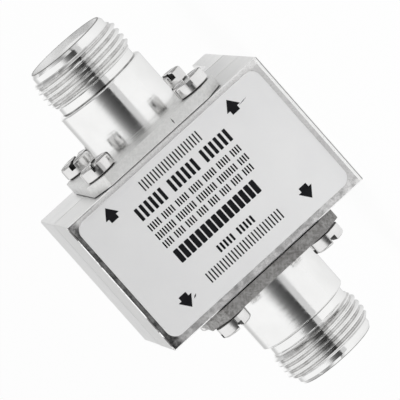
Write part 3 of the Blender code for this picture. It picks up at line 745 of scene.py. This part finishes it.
def bevelled_block(low, high):
    """The front half's outside: a block with bevelled edges and a shallow step at the parting line."""
    step = high.y - PARTING_WIDTH
    shape = block(low, Vector((high.x, step, high.z)))
    bmesh.ops.bevel(
        shape,
        geom=[e for e in shape.edges if not all(v.co.y > step - WELD for v in e.verts)],
        offset=HOUSING_EDGE,
        offset_type="OFFSET",
        segments=1,
        affect="EDGES",
    )
    shape.normal_update()
    back = max(shape.faces, key=lambda face: face.calc_center_median().y)
    bmesh.ops.inset_region(shape, faces=[back], thickness=PARTING_STEP, use_even_offset=True)
    extrude(shape, back, (0, PARTING_WIDTH, 0))
    bmesh.ops.delete(shape, geom=[back], context="FACES_ONLY")
    return mesh_from(shape, "front_half")


def wedge_mesh(low, high):
    """What the bevel along the foot takes off: a three-sided bar in X."""
    top = Vector((low.y, low.z + FOOT_BEVEL_WIDTH))
    foot = Vector((low.y + FOOT_BEVEL_DEPTH, low.z))
    outline = [2 * top - foot, 2 * foot - top, Vector((low.y, low.z)) * 2 - (top + foot) / 2]
    wedge = prism("wedge", outline, low.x - SEAT_GAP, high.x + SEAT_GAP)
    wedge.transform(NEXT_AXIS)
    return wedge


def nick_cutters(front):
    """Flattened balls along the front edges, each sunk into its edge by the same share of its size."""
    cutters = []
    for away, nicks in NICKS.items():
        for x, z, size in nicks:
            shape = bmesh.new()
            bmesh.ops.create_icosphere(shape, subdivisions=NICK_DETAIL, radius=size * MM)
            bmesh.ops.scale(shape, vec=(1.0, 1.0, NICK_HEIGHT), verts=shape.verts)
            lift = (Vector(away) + Vector((0, -1, 0))).normalized() * size * MM * (1 - NICK_DEPTH)
            place = Vector((x * MM, front, z * MM)) + lift
            cutters.append((mesh_from(shape, "nick"), move(*place)))
    return cutters


def seat_mesh():
    """Room in the housing for a jack's spigot and its insulator's neck."""
    spigot = SPIGOT_DIAMETER / 2 + SEAT_GAP
    neck = NECK_DIAMETER / 2 + SEAT_GAP
    floor = -SPIGOT_LENGTH - SEAT_GAP
    end = -JACK_WALL - 2 * SEAT_GAP
    profile = [(0, SEAT_GAP), (spigot, SEAT_GAP), (spigot, floor), (neck, floor), (neck, end), (0, end)]
    return turned("seat", profile, ROUND_SEGMENTS)


def hole_mesh(top, foot):
    """Room for a screw's shank."""
    radius = SCREW_DIAMETER / 2 + SEAT_GAP
    return turned("hole", [(0, top), (radius, top), (radius, foot), (0, foot)], SCREW_SEGMENTS)


def make_front_half():
    """The housing's front half, closed up to a hairline against the rear half."""
    low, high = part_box("cover_plate")
    low, high = Vector(low), Vector(high) + Vector((0, SEAT_GAP - PARTING_SEAM, 0))
    corners = ((low.x + JACK_WALL, low.z + SIDE_WALL), (high.x - JACK_WALL, high.z - SIDE_WALL))
    outline = rounded_rectangle(*corners, CAVITY_RADIUS)
    cavity = prism("cavity", outline, low.y + FRONT_WALL, high.y + SEAT_GAP)
    cavity.transform(SWAP_Y_AND_Z)
    cavity.flip_normals()
    cutters = [(cavity, HERE), (wedge_mesh(low, high), HERE)]
    depth = FLANGE_THICKNESS + SEAT_GAP - SCREW_LENGTH - SEAT_GAP
    for side, _ in ENDS:
        cutters.append((seat_mesh(), end_placement(side)))
        for x, y in corner_places(FLANGE_SCREW_SPACING):
            if y < 0:
                cutters.append((hole_mesh(SEAT_GAP, depth), end_placement(side) @ move(x, y, 0)))
    cutters += nick_cutters(low.y)
    mesh = cleaned(combined("front_half", bevelled_block(low, high), cutters, "DIFFERENCE"))
    for polygon in mesh.polygons:
        if polygon.center.y < low.y + HOUSING_EDGE and polygon.normal.y < -BEVEL_FACING:
            polygon.material_index = 1 if polygon.normal.y < -FLAT_FACING else 2
    piece = new_object("housing_front_half", mesh)
    modifier = piece.modifiers.new("Flat faces", "WEIGHTED_NORMAL")
    modifier.keep_sharp = True
    finish_piece(piece, ("cover_metal", "milled_face", "bright_edge"), "cover_plate")


def thread_mesh():
    """One pitch of the thread form, with softened crests, swept along its helix and trimmed."""
    crest = THREAD_DIAMETER / 2
    flank = FORM_FLANK * THREAD_PITCH
    flat = FORM_CREST * THREAD_PITCH
    form = [
        (THREAD_ROOT, 0),
        (crest, flank),
        (crest, flank + flat),
        (THREAD_ROOT, 2 * flank + flat),
        (THREAD_ROOT, THREAD_PITCH),
    ]
    turns = math.ceil((THREAD_END - THREAD_START) / THREAD_PITCH) + 2
    rise = (0, 0, THREAD_PITCH / ROUND_SEGMENTS)
    rod = swept(filleted(form, FINE_EDGE), math.tau * turns, ROUND_SEGMENTS * turns, dvec=rise)
    open_edges = [edge for edge in rod.edges if edge.is_boundary]
    middle = THREAD_PITCH * (turns + 1) / 2
    for is_top in (False, True):
        rim = [edge for edge in open_edges if (edge.verts[0].co.z > middle) == is_top]
        heights = [vert.co.z for edge in rim for vert in edge.verts]
        hub = rod.verts.new((0, 0, sum(heights) / len(heights)))
        for edge in rim:
            rod.faces.new((edge.verts[0], edge.verts[1], hub))
    lift = (THREAD_START + THREAD_END) / 2 - middle
    bmesh.ops.translate(rod, vec=(0, 0, lift), verts=rod.verts)
    outside = crest + BARREL_EDGE
    inside = THREAD_ROOT - BARREL_EDGE
    chamfer = outside - inside
    trim = [
        (0, THREAD_END),
        (inside, THREAD_END),
        (outside, THREAD_END - chamfer),
        (outside, THREAD_START + chamfer),
        (inside, THREAD_START),
        (0, THREAD_START),
    ]
    trim_mesh = turned("thread_trim", trim, ROUND_SEGMENTS)
    return combined("thread", mesh_from(rod, "thread"), [(trim_mesh, HERE)], "INTERSECT")


def flange_outline():
    half = FLANGE_SIDE / 2
    flat = half - FLANGE_CHAMFER
    return [
        (half, -flat), (half, flat), (flat, half), (-flat, half),
        (-half, flat), (-half, -flat), (-flat, -half), (flat, -half),
    ]


def jack_mesh():
    barrel = BARREL_DIAMETER / 2
    lip = LIP_DIAMETER / 2
    spigot = SPIGOT_DIAMETER / 2
    profile = [
        (0, JACK_REACH),
        (RIM_DIAMETER / 2 - RIM_EDGE / 2, JACK_REACH),
        (RIM_DIAMETER / 2, JACK_REACH - RIM_EDGE),
        (lip, JACK_REACH - RIM_CHAMFER_LENGTH),
        (lip, THREAD_END),
        (THREAD_ROOT, THREAD_END - (THREAD_ROOT - lip)),
        (THREAD_ROOT, THREAD_START),
        (RELIEF_DIAMETER / 2, THREAD_START - (THREAD_ROOT - RELIEF_DIAMETER / 2)),
        (RELIEF_DIAMETER / 2, BARREL_LENGTH),
        (barrel - BARREL_EDGE, BARREL_LENGTH),
        (barrel, BARREL_LENGTH - BARREL_EDGE),
        (barrel, FLANGE_THICKNESS / 2),
        (spigot, FLANGE_THICKNESS / 2),
        (spigot, -SPIGOT_LENGTH),
        (0, -SPIGOT_LENGTH),
    ]
    shell = turned("jack", filleted(profile, FINE_EDGE), ROUND_SEGMENTS)
    flange = prism("flange", flange_outline(), FLANGE_SEAM - SEAT_GAP, FLANGE_THICKNESS, FLANGE_EDGE)
    shell = combined("jack", shell, [(flange, HERE), (thread_mesh(), HERE)], "UNION")
    bore = BORE_DIAMETER / 2
    counterbore = COUNTERBORE_DIAMETER / 2
    hollow = [
        (0, JACK_REACH + SEAT_GAP),
        (FLARE_DIAMETER / 2, JACK_REACH + SEAT_GAP),
        (FLARE_DIAMETER / 2, JACK_REACH),
        (MOUTH_DIAMETER / 2, JACK_REACH - FLARE_DEPTH),
        (bore, JACK_REACH - MOUTH_DEPTH),
        (bore, COUNTERBORE_DEPTH),
        (counterbore, COUNTERBORE_DEPTH),
        (counterbore, -SPIGOT_LENGTH - SEAT_GAP),
        (0, -SPIGOT_LENGTH - SEAT_GAP),
    ]
    cutters = [(turned("bore", filleted(hollow, FINE_EDGE), ROUND_SEGMENTS), HERE)]
    for x, y in corner_places(FLANGE_SCREW_SPACING):
        cutters.append((hole_mesh(2 * FLANGE_THICKNESS, -2 * SEAT_GAP), move(x, y, 0)))
    return cleaned(combined("jack", shell, cutters, "DIFFERENCE"))


def split_flange(mesh):
    """Sorts the faces by finish: 1 flange, 2 its back in painted shade, 3 bore, 4 rim in painted shade, and
    0 for the rest.
    """
    for polygon in mesh.polygons:
        reach = max(math.hypot(*mesh.vertices[index].co[:2]) for index in polygon.vertices)
        is_on_plate = FLANGE_SEAM - SEAT_GAP - WELD < polygon.center.z < FLANGE_THICKNESS + WELD
        if is_on_plate and reach > BARREL_DIAMETER / 2 + SEAT_GAP:
            polygon.material_index = 2 if polygon.normal.z < -BACK_FACING else 1
        elif polygon.center.z > JACK_REACH - RIM_EDGE * 1.1:
            polygon.material_index = 4
        elif reach < FLARE_DIAMETER / 2 + FINE_EDGE:
            polygon.material_index = 3


def make_jacks():
    mesh = jack_mesh()
    split_flange(mesh)
    for side, end in ENDS:
        shell = new_object(end + "_jack_shell", mesh.copy(), end_placement(side))
        # The equipment flange is in painted shade
        plate = "milled_plate" if side > 0 else "painted_shade_plate"
        finishes = ("turned_plate", plate, "painted_shade_metal", "bore_plate", "painted_shade_rim")
        finish_piece(shell, finishes, end + "_jack")


def insulator_mesh():
    front = BORE_DIAMETER / 2 - SEAT_GAP
    shoulder = COUNTERBORE_DIAMETER / 2 - SEAT_GAP
    neck = NECK_DIAMETER / 2
    socket = CONTACT_DIAMETER / 2 + SEAT_GAP
    tail = TAIL_DIAMETER / 2 + SEAT_GAP
    face = JACK_REACH - INSULATOR_RECESS
    shoulder_top = COUNTERBORE_DEPTH - SEAT_GAP
    profile = [
        (front, face),
        (front, shoulder_top),
        (shoulder, shoulder_top),
        (shoulder, -SPIGOT_LENGTH),
        (neck, -SPIGOT_LENGTH),
        (neck, -NECK_LENGTH),
        (tail, -NECK_LENGTH),
        (tail, -SEAT_GAP),
        (socket, -SEAT_GAP),
        (socket, face),
        (front, face),
    ]
    middle = ((front + socket) / 2, face)
    profile = filleted([middle] + profile[:-1] + [middle], FINE_EDGE * 2)
    return cleaned(turned("insulator", profile[:-1], SCREW_SEGMENTS, is_ring=True))


def contact_mesh(end_reach):
    radius = CONTACT_DIAMETER / 2
    socket = SOCKET_DIAMETER / 2
    tail = TAIL_DIAMETER / 2
    tip = JACK_REACH - CONTACT_RECESS
    lead = socket / 3
    profile = [
        (0, tip - SOCKET_DEPTH),
        (socket, tip - SOCKET_DEPTH),
        (socket, tip - lead),
        (socket + lead, tip),
        (radius - lead, tip),
        (radius, tip - lead),
        (radius, 0),
        (tail, 0),
        (tail, -end_reach),
        (0, -end_reach),
    ]
    contact = turned("contact", filleted(profile, FINE_EDGE), SCREW_SEGMENTS)
    slots = []
    for turn in (0, 1):
        half = (radius + SEAT_GAP, SOCKET_SLOT_WIDTH / 2)
        low = (-half[turn], -half[1 - turn], tip - SOCKET_SLOT_LENGTH)
        high = (half[turn], half[1 - turn], tip + SEAT_GAP)
        slots.append((mesh_from(block(low, high), "slot"), HERE))
    return cleaned(combined("contact", contact, slots, "DIFFERENCE"))


def make_inserts():
    """The insulator and the slotted centre contact of each jack."""
    insulator = insulator_mesh()
    for side, end in ENDS:
        placement = end_placement(side)
        low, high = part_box(end + "_contact")
        tail_end = low.x if side > 0 else high.x
        contact = contact_mesh(abs(placement.translation.x - tail_end))
        piece = new_object(end + "_dielectric", insulator.copy(), placement)
        finish_piece(piece, ("white_plastic",), end + "_insulator")
        piece = new_object(end + "_socket", contact, placement)
        finish_piece(piece, ("gold_plate",), end + "_contact")


def slot_cutter(length, width):
    """A slot with a flared mouth, so that its lips are broken edges."""
    half = width / 2
    floor = SCREW_HEAD_HEIGHT - SLOT_DEPTH
    lip = SCREW_HEAD_HEIGHT - SCREW_HEAD_CROWN / 4
    top = SCREW_HEAD_HEIGHT + SEAT_GAP
    flare = SLOT_FLARE + top - lip
    outline = [
        (-half, floor), (half, floor), (half, lip), (half + flare, top), (-half - flare, top), (-half, lip),
    ]
    mesh = prism("slot", outline, -length / 2, length / 2)
    mesh.transform(NEXT_AXIS)
    return mesh


SCREW_FINISHES = ("screw_steel", "painted_shade_metal", "painted_shade_screw_top")


def screw_mesh():
    head = SCREW_HEAD_DIAMETER / 2
    shank = SCREW_DIAMETER / 2
    wall = SCREW_HEAD_HEIGHT - SCREW_HEAD_CROWN
    profile = [(0, SCREW_HEAD_HEIGHT)]
    for step in range(CROWN_STEPS + 1):
        angle = math.pi / 2 * step / CROWN_STEPS
        reach = head - SCREW_HEAD_INSET * (1 - math.sin(angle))
        profile.append((reach, wall + SCREW_HEAD_CROWN * math.cos(angle)))
    foot = HEAD_SEAM - SEAT_GAP
    profile += [
        (head, foot + HEAD_UNDERCUT + FINE_EDGE),
        (head - FINE_EDGE, foot + HEAD_UNDERCUT),
        (head - HEAD_UNDERCUT, foot + HEAD_UNDERCUT),
        (head - HEAD_UNDERCUT - FINE_EDGE, foot),
        (shank, foot),
        (shank, SCREW_TIP_CHAMFER - SCREW_LENGTH),
        (shank - SCREW_TIP_CHAMFER, -SCREW_LENGTH),
        (0, -SCREW_LENGTH),
    ]
    screw = turned("screw", profile, SCREW_SEGMENTS)
    across = slot_cutter(SCREW_HEAD_DIAMETER + 2 * SEAT_GAP, SLOT_WIDTH)
    cross = slot_cutter(CROSS_LENGTH, SLOT_WIDTH)
    slots = [(across, HERE), (cross, rotation(90, "Z"))]
    mesh = cleaned(combined("screw", screw, slots, "DIFFERENCE"))
    half = SLOT_WIDTH / 2 + WELD
    for polygon in mesh.polygons:
        x, y, z = polygon.center
        in_slot = abs(y) < half or (abs(x) < half and abs(y) < CROSS_LENGTH / 2 + WELD)
        is_recess = in_slot and z > SCREW_HEAD_HEIGHT - SLOT_DEPTH - WELD
        is_under = z < foot + HEAD_UNDERCUT + WELD
        is_top = z > SCREW_HEAD_HEIGHT - SCREW_HEAD_CROWN * CROWN_TOP_SHARE and polygon.normal.z > TOP_FACING
        # Slots and the undercut beneath the head are in painted shade
        polygon.material_index = 1 if is_recess or is_under else (2 if is_top else 0)
    return mesh


def make_screws():
    mesh = screw_mesh()
    for side, end in ENDS:
        for index, (x, y) in enumerate(corner_places(FLANGE_SCREW_SPACING)):
            seat = end_placement(side) @ move(x, y, FLANGE_THICKNESS + SEAT_GAP)
            spin = rotation(SCREW_SPINS[index], "Z")
            screw = new_object("%s_pan_head_%d" % (end, index + 1), mesh.copy(), seat @ spin)
            node = "%s_screw_%d" % (end, index + 1)
            finish_piece(screw, SCREW_FINISHES, node)
    for end in ("left", "right"):
        low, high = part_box("bracket_screw_" + end)
        seat = move((low.x + high.x) / 2, high.y - SCREW_HEAD_HEIGHT, (low.z + high.z) / 2)
        screw = new_object("bracket_pan_head_" + end, mesh.copy(), seat @ rotation(-90, "X"))
        finish_piece(screw, SCREW_FINISHES, "bracket_screw_" + end)


def label_frame():
    """The label's own frame on its printed face: x to the picture's right, y to the antenna."""
    low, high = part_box("label_plate")
    axis = end_placement(1).translation.z
    turn = Matrix(((0, 1, 0, 0), (0, 0, -1, 0), (-1, 0, 0, 0), (0, 0, 0, 1)))
    return move(0, low.y, axis) @ turn, low, high, axis


def make_label():
    """A film that lies on the front half's face, with its print."""
    placement, low, high, axis = label_frame()
    foot = low.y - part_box("cover_plate")[0].y + LABEL_SEAM
    outline = rounded_rectangle((axis - high.z, low.x), (axis - low.z, high.x), LABEL_RADIUS)
    film = cleaned(prism("label", outline, foot, 0, LABEL_EDGE))
    label = new_object("label_film", film, placement)
    finish_piece(label, ("label_foil",), "label_plate")
    ink = new_object("label_print", print_mesh(), placement)
    dress(ink, ("label_ink",))
    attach(ink, "root")


def arrow_outline(x, tip, way):
    """A block arrow whose tip is at y = tip, pointing to +y or -y."""
    neck = tip - way * ARROW_HEAD
    foot = tip - way * ARROW_LENGTH
    return [
        (x, tip),
        (x - ARROW_HALF, neck),
        (x - ARROW_STEM, neck),
        (x - ARROW_STEM, foot),
        (x + ARROW_STEM, foot),
        (x + ARROW_STEM, neck),
        (x + ARROW_HALF, neck),
    ]


# The printed arrows: middle, tip and which way they point, in millimetres on the label
ARROWS = ((-12.95, 10.8, 1), (11.5, 10.6, 1), (-12.95, -9.1, -1), (11.5, -9.15, -1))

# The printed rows: middle, start, end, height, stroke, pitch and strokes in a group, in millimetres
ROWS = (
    (9.45, -6.7, 4.9, 1.75, 0.22, 0.58, 99),
    (6.55, -10.0, 8.4, 2.2, 0.56, 0.92, 7),
    (3.97, -10.0, 8.3, 1.15, 0.24, 0.46, 6),
    (2.24, -10.0, 8.3, 1.15, 0.24, 0.46, 9),
    (0.60, -10.0, 8.3, 1.15, 0.24, 0.46, 5),
    (-2.05, -9.7, 7.6, 2.3, 0.86, 1.08, 16),
    (-5.35, -4.3, 3.4, 1.25, 0.36, 0.66, 6),
    (-7.6, -8.3, 6.4, 1.75, 0.22, 0.58, 99),
)
STROKE_RADIUS = 0.2

# Scuffs on the label: start, end and width, in millimetres
SCUFFS = (((12.4, 8.7), (14.1, 8.9), 0.10), ((-11.9, -8.35), (-11.2, -7.95), 0.22))


def print_mesh():
    """Block arrows, rows of plain upright strokes and scuffs, a hair above the label's face."""
    outlines = [arrow_outline(x * MM, tip * MM, way) for x, tip, way in ARROWS]
    for start, end, width in SCUFFS:
        start, end = Vector(start) * MM, Vector(end) * MM
        aside = (end - start).orthogonal().normalized() * width * MM / 2
        outlines.append([start, (start + end) / 2 - aside, end, (start + end) / 2 + aside])
    for middle, start, end, height, stroke, pitch, group in ROWS:
        count = round((end - start - stroke) / pitch) + 1
        spacing = (end - start - stroke) / (count - 1)
        for index in range(count):
            if (index + 1) % group:
                left = start + index * spacing
                low = (left * MM, (middle - height / 2) * MM)
                high = ((left + stroke) * MM, (middle + height / 2) * MM)
                outlines.append(rounded_rectangle(low, high, stroke * MM * STROKE_RADIUS))
    shape = bmesh.new()
    for outline in outlines:
        mesh = prism("stroke", outline, 0, PRINT_HEIGHT)
        shape.from_mesh(mesh)
        bpy.data.meshes.remove(mesh)
    return mesh_from(shape, "print")


def dress_nodes():
    for node, finish in NODE_FINISH.items():
        dress(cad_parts[node], (finish,))


# Studio, in metres, with tones from 0 for black to 1 for white
WORLD_FILL = 0.62
FLOOR_REACH = 6.0
FLOOR_DROP = 0.00002
FLOOR_COLOUR = (0.9, 0.9, 0.9, 1.0)
FLOOR_GLOW = 0.95
ROOM_REACH = 2.2
ROOM_RISE = 2.6
SIDE_END = 0.4
NEAR_TABLE_START = -0.165
NEAR_TABLE_END = -0.052
SIDE_TABLE_START = 0.075
SIDE_TABLE_END = 0.10
CONTACT_REACH = 0.0123
CONTACT_START = -0.01256
CONTACT_END = 0.015
MOTTLE_SCALE = 20.0
LAMP_TARGET = (0, 0, 0.02)

# Lamps: name, energy, size and place
LAMPS = (
    ("overhead", 3.0, (0.7, 0.5), (0.0, -0.45, 1.0)),
    ("front", 0.3, (0.25, 0.25), (-0.24, -0.36, 0.05)),
)


def make_lamps():
    for name, energy, size, place in LAMPS:
        lamp = bpy.data.lights.new(name, "AREA")
        lamp.energy = energy
        lamp.shape = "RECTANGLE"
        lamp.size, lamp.size_y = size
        obj = new_object(name, lamp)
        obj.location = place
        obj.rotation_euler = (Vector(LAMP_TARGET) - Vector(place)).to_track_quat("-Z", "Y").to_euler()
        obj.visible_glossy = False


def studio_nodes(owner):
    nodes = Nodes(owner)
    nodes.tree.nodes.clear()
    return nodes


def end_in_mix(nodes, output, lit, seen, level):
    """Ends a tree in a mix: the camera and reflections see the second shader, up to a level."""
    rays = nodes.add("ShaderNodeLightPath").outputs
    looks = nodes.maths("MAXIMUM", rays["Is Camera Ray"], rays["Is Glossy Ray"])
    looks = nodes.maths("MAXIMUM", looks, rays["Is Transmission Ray"])
    share = nodes.maths("MULTIPLY", looks, level)
    mix = nodes.add("ShaderNodeMixShader", {0: share, 1: lit.outputs[0], 2: seen.outputs[0]})
    nodes.add(output, {0: mix.outputs[0]})


def make_world():
    """White to the camera and in reflections, and softer for the light that it gives."""
    world = bpy.data.worlds.new("studio")
    bpy.context.scene.world = world
    nodes = studio_nodes(world)
    fill = nodes.add("ShaderNodeBackground", {"Color": WHITE, "Strength": WORLD_FILL})
    back = nodes.add("ShaderNodeBackground", {"Color": WHITE, "Strength": 1.0})
    end_in_mix(nodes, "ShaderNodeOutputWorld", fill, back, 1.0)


def make_floor():
    """A pale floor that is white where no shadow falls, to the camera and in reflections."""
    shape = bmesh.new()
    bmesh.ops.create_grid(shape, x_segments=8, y_segments=8, size=FLOOR_REACH)
    floor = new_object("studio_floor", mesh_from(shape, "floor"))
    floor.location.z = -FLOOR_DROP
    material = bpy.data.materials.new("studio_floor")
    nodes = studio_nodes(material)
    matte = nodes.add("ShaderNodeBsdfDiffuse", {"Color": FLOOR_COLOUR})
    glow = nodes.add("ShaderNodeEmission", {"Color": WHITE, "Strength": 1.0})
    end_in_mix(nodes, "ShaderNodeOutputMaterial", matte, glow, FLOOR_GLOW)
    floor.data.materials.append(material)


def card(name, levels, size, turn, place, mottle=0.0):
    """A studio card that only reflections see, with a tone that changes along its height."""
    shape = bmesh.new()
    bmesh.ops.create_grid(shape, x_segments=1, y_segments=1, size=0.5)
    obj = new_object(name, mesh_from(shape, name))
    obj.scale = (*size, 1.0)
    obj.rotation_euler = [math.radians(angle) for angle in turn]
    obj.location = place
    material = bpy.data.materials.new(name)
    nodes = studio_nodes(material)
    spot = nodes.add("ShaderNodeTexCoord").outputs["Generated"]
    split = nodes.add("ShaderNodeSeparateXYZ", {0: spot}).outputs
    height = split["Y"]
    if mottle:
        inputs = {"W": split["X"], "Scale": MOTTLE_SCALE}
        clouds = nodes.add("ShaderNodeTexNoise", inputs, noise_dimensions="1D").outputs["Fac"]
        height = nodes.product(height, nodes.ramp(clouds, 0.3, 0.7, 1.0 - mottle, 1.0 + mottle))
    tones = nodes.add("ShaderNodeValToRGB", {0: height})
    stops = tones.color_ramp.elements
    stops.remove(stops[0])
    stops[0].position = 0.0
    for position, level in levels:
        stop = stops.new(position) if position else stops[0]
        stop.color = (level, level, level, 1.0)
    glow = nodes.add("ShaderNodeEmission", {"Color": tones.outputs[0]})
    nodes.add("ShaderNodeOutputMaterial", {0: glow.outputs[0]})
    obj.data.materials.append(material)
    obj.visible_camera = False
    obj.visible_diffuse = False
    obj.visible_shadow = False
    obj.visible_transmission = False


def table_card(name, levels, start, end, across=(-3.0, 3.0), height=0.0005):
    """A card that lies on the table, from start to end in Y."""
    size = (across[1] - across[0], end - start)
    card(name, levels, size, (0, 0, 0), ((across[0] + across[1]) / 2, (start + end) / 2, height))


def even(level):
    return ((0.0, level), (1.0, level))


def make_cards():
    """The dark side of the studio behind the camera and the tones of the table that reflections show, with
    the part's painted shadow beneath and behind it.
    """
    lift = ROOM_RISE / 2
    dark = ((0.0, 0.06), (0.12, 0.085), (0.27, 0.16), (0.42, 0.32), (0.56, 0.68), (0.7, 0.97), (1.0, 1.0))
    card("dark_side", dark, (6.0, ROOM_RISE), (90, 0, 0), (0, -ROOM_REACH, lift), mottle=0.4)
    band = ((0.0, 1.0), (0.2, 0.62), (0.5, 0.66), (1.0, 1.0))
    card("back_band", band, (2.4, 1.1), (90, 0, 0), (0, 1.2, 0.8))
    flag = ((0.0, 0.9), (0.2, 0.5), (0.8, 0.5), (1.0, 0.9))
    for side, name, level in ((1, "right", 0.72), (-1, "left", 1.0)):
        wing = ((0.0, level), (0.2, level), (0.4, 0.3), (1.0, 0.9))
        place = (side * ROOM_REACH, (SIDE_END - ROOM_REACH) / 2, lift)
        card(name + "_side", wing, (ROOM_REACH + SIDE_END, ROOM_RISE), (90, 0, 90), place)
        card(name + "_flag", flag, (1.5, 1.5), (90, 0, side * -50), (side * 1.15, 0.95, 1.25))
        beside = sorted((side * SIDE_TABLE_START, side * ROOM_REACH))
        table_card(name + "_table", even(level), NEAR_TABLE_END, SIDE_TABLE_END, beside)
    table_card("far_table", ((0.0, 0.05), (1.0, 0.06)), -ROOM_REACH, NEAR_TABLE_START)
    table_card("near_table", even(0.66), NEAR_TABLE_START, NEAR_TABLE_END)
    # Painted shadow of the part on the table behind it, seen only in reflections
    under = ((0.0, 0.98), (0.22, 0.86), (0.45, 0.68), (0.8, 0.68), (1.0, 0.95))
    table_card("back_table", under, -0.012, 0.11, height=-0.000005)
    # Painted contact shadow beneath the part, seen only in reflections
    below = (-CONTACT_REACH, CONTACT_REACH)
    table_card("contact", even(0.35), CONTACT_START, CONTACT_END, below, -0.00001)


def make_camera():
    data = bpy.data.cameras.new("camera")
    data.lens = CAMERA_LENS
    data.sensor_width = SENSOR_WIDTH
    data.clip_start = 0.05
    data.clip_end = 50.0
    camera = new_object("camera", data)
    turn = rotation(CAMERA_AZIMUTH, "Z") @ rotation(90 - CAMERA_ELEVATION, "X")
    place = move(*CAMERA_AIM) @ turn @ move(0, 0, CAMERA_DISTANCE)
    camera.matrix_world = place @ rotation(CAMERA_ROLL, "Z")
    bpy.context.scene.camera = camera


make_camera()
make_world()
make_floor()
make_cards()
make_lamps()
dress_nodes()
make_front_half()
make_jacks()
make_inserts()
make_screws()
make_label()
bpy.context.scene.view_settings.view_transform = "Standard"
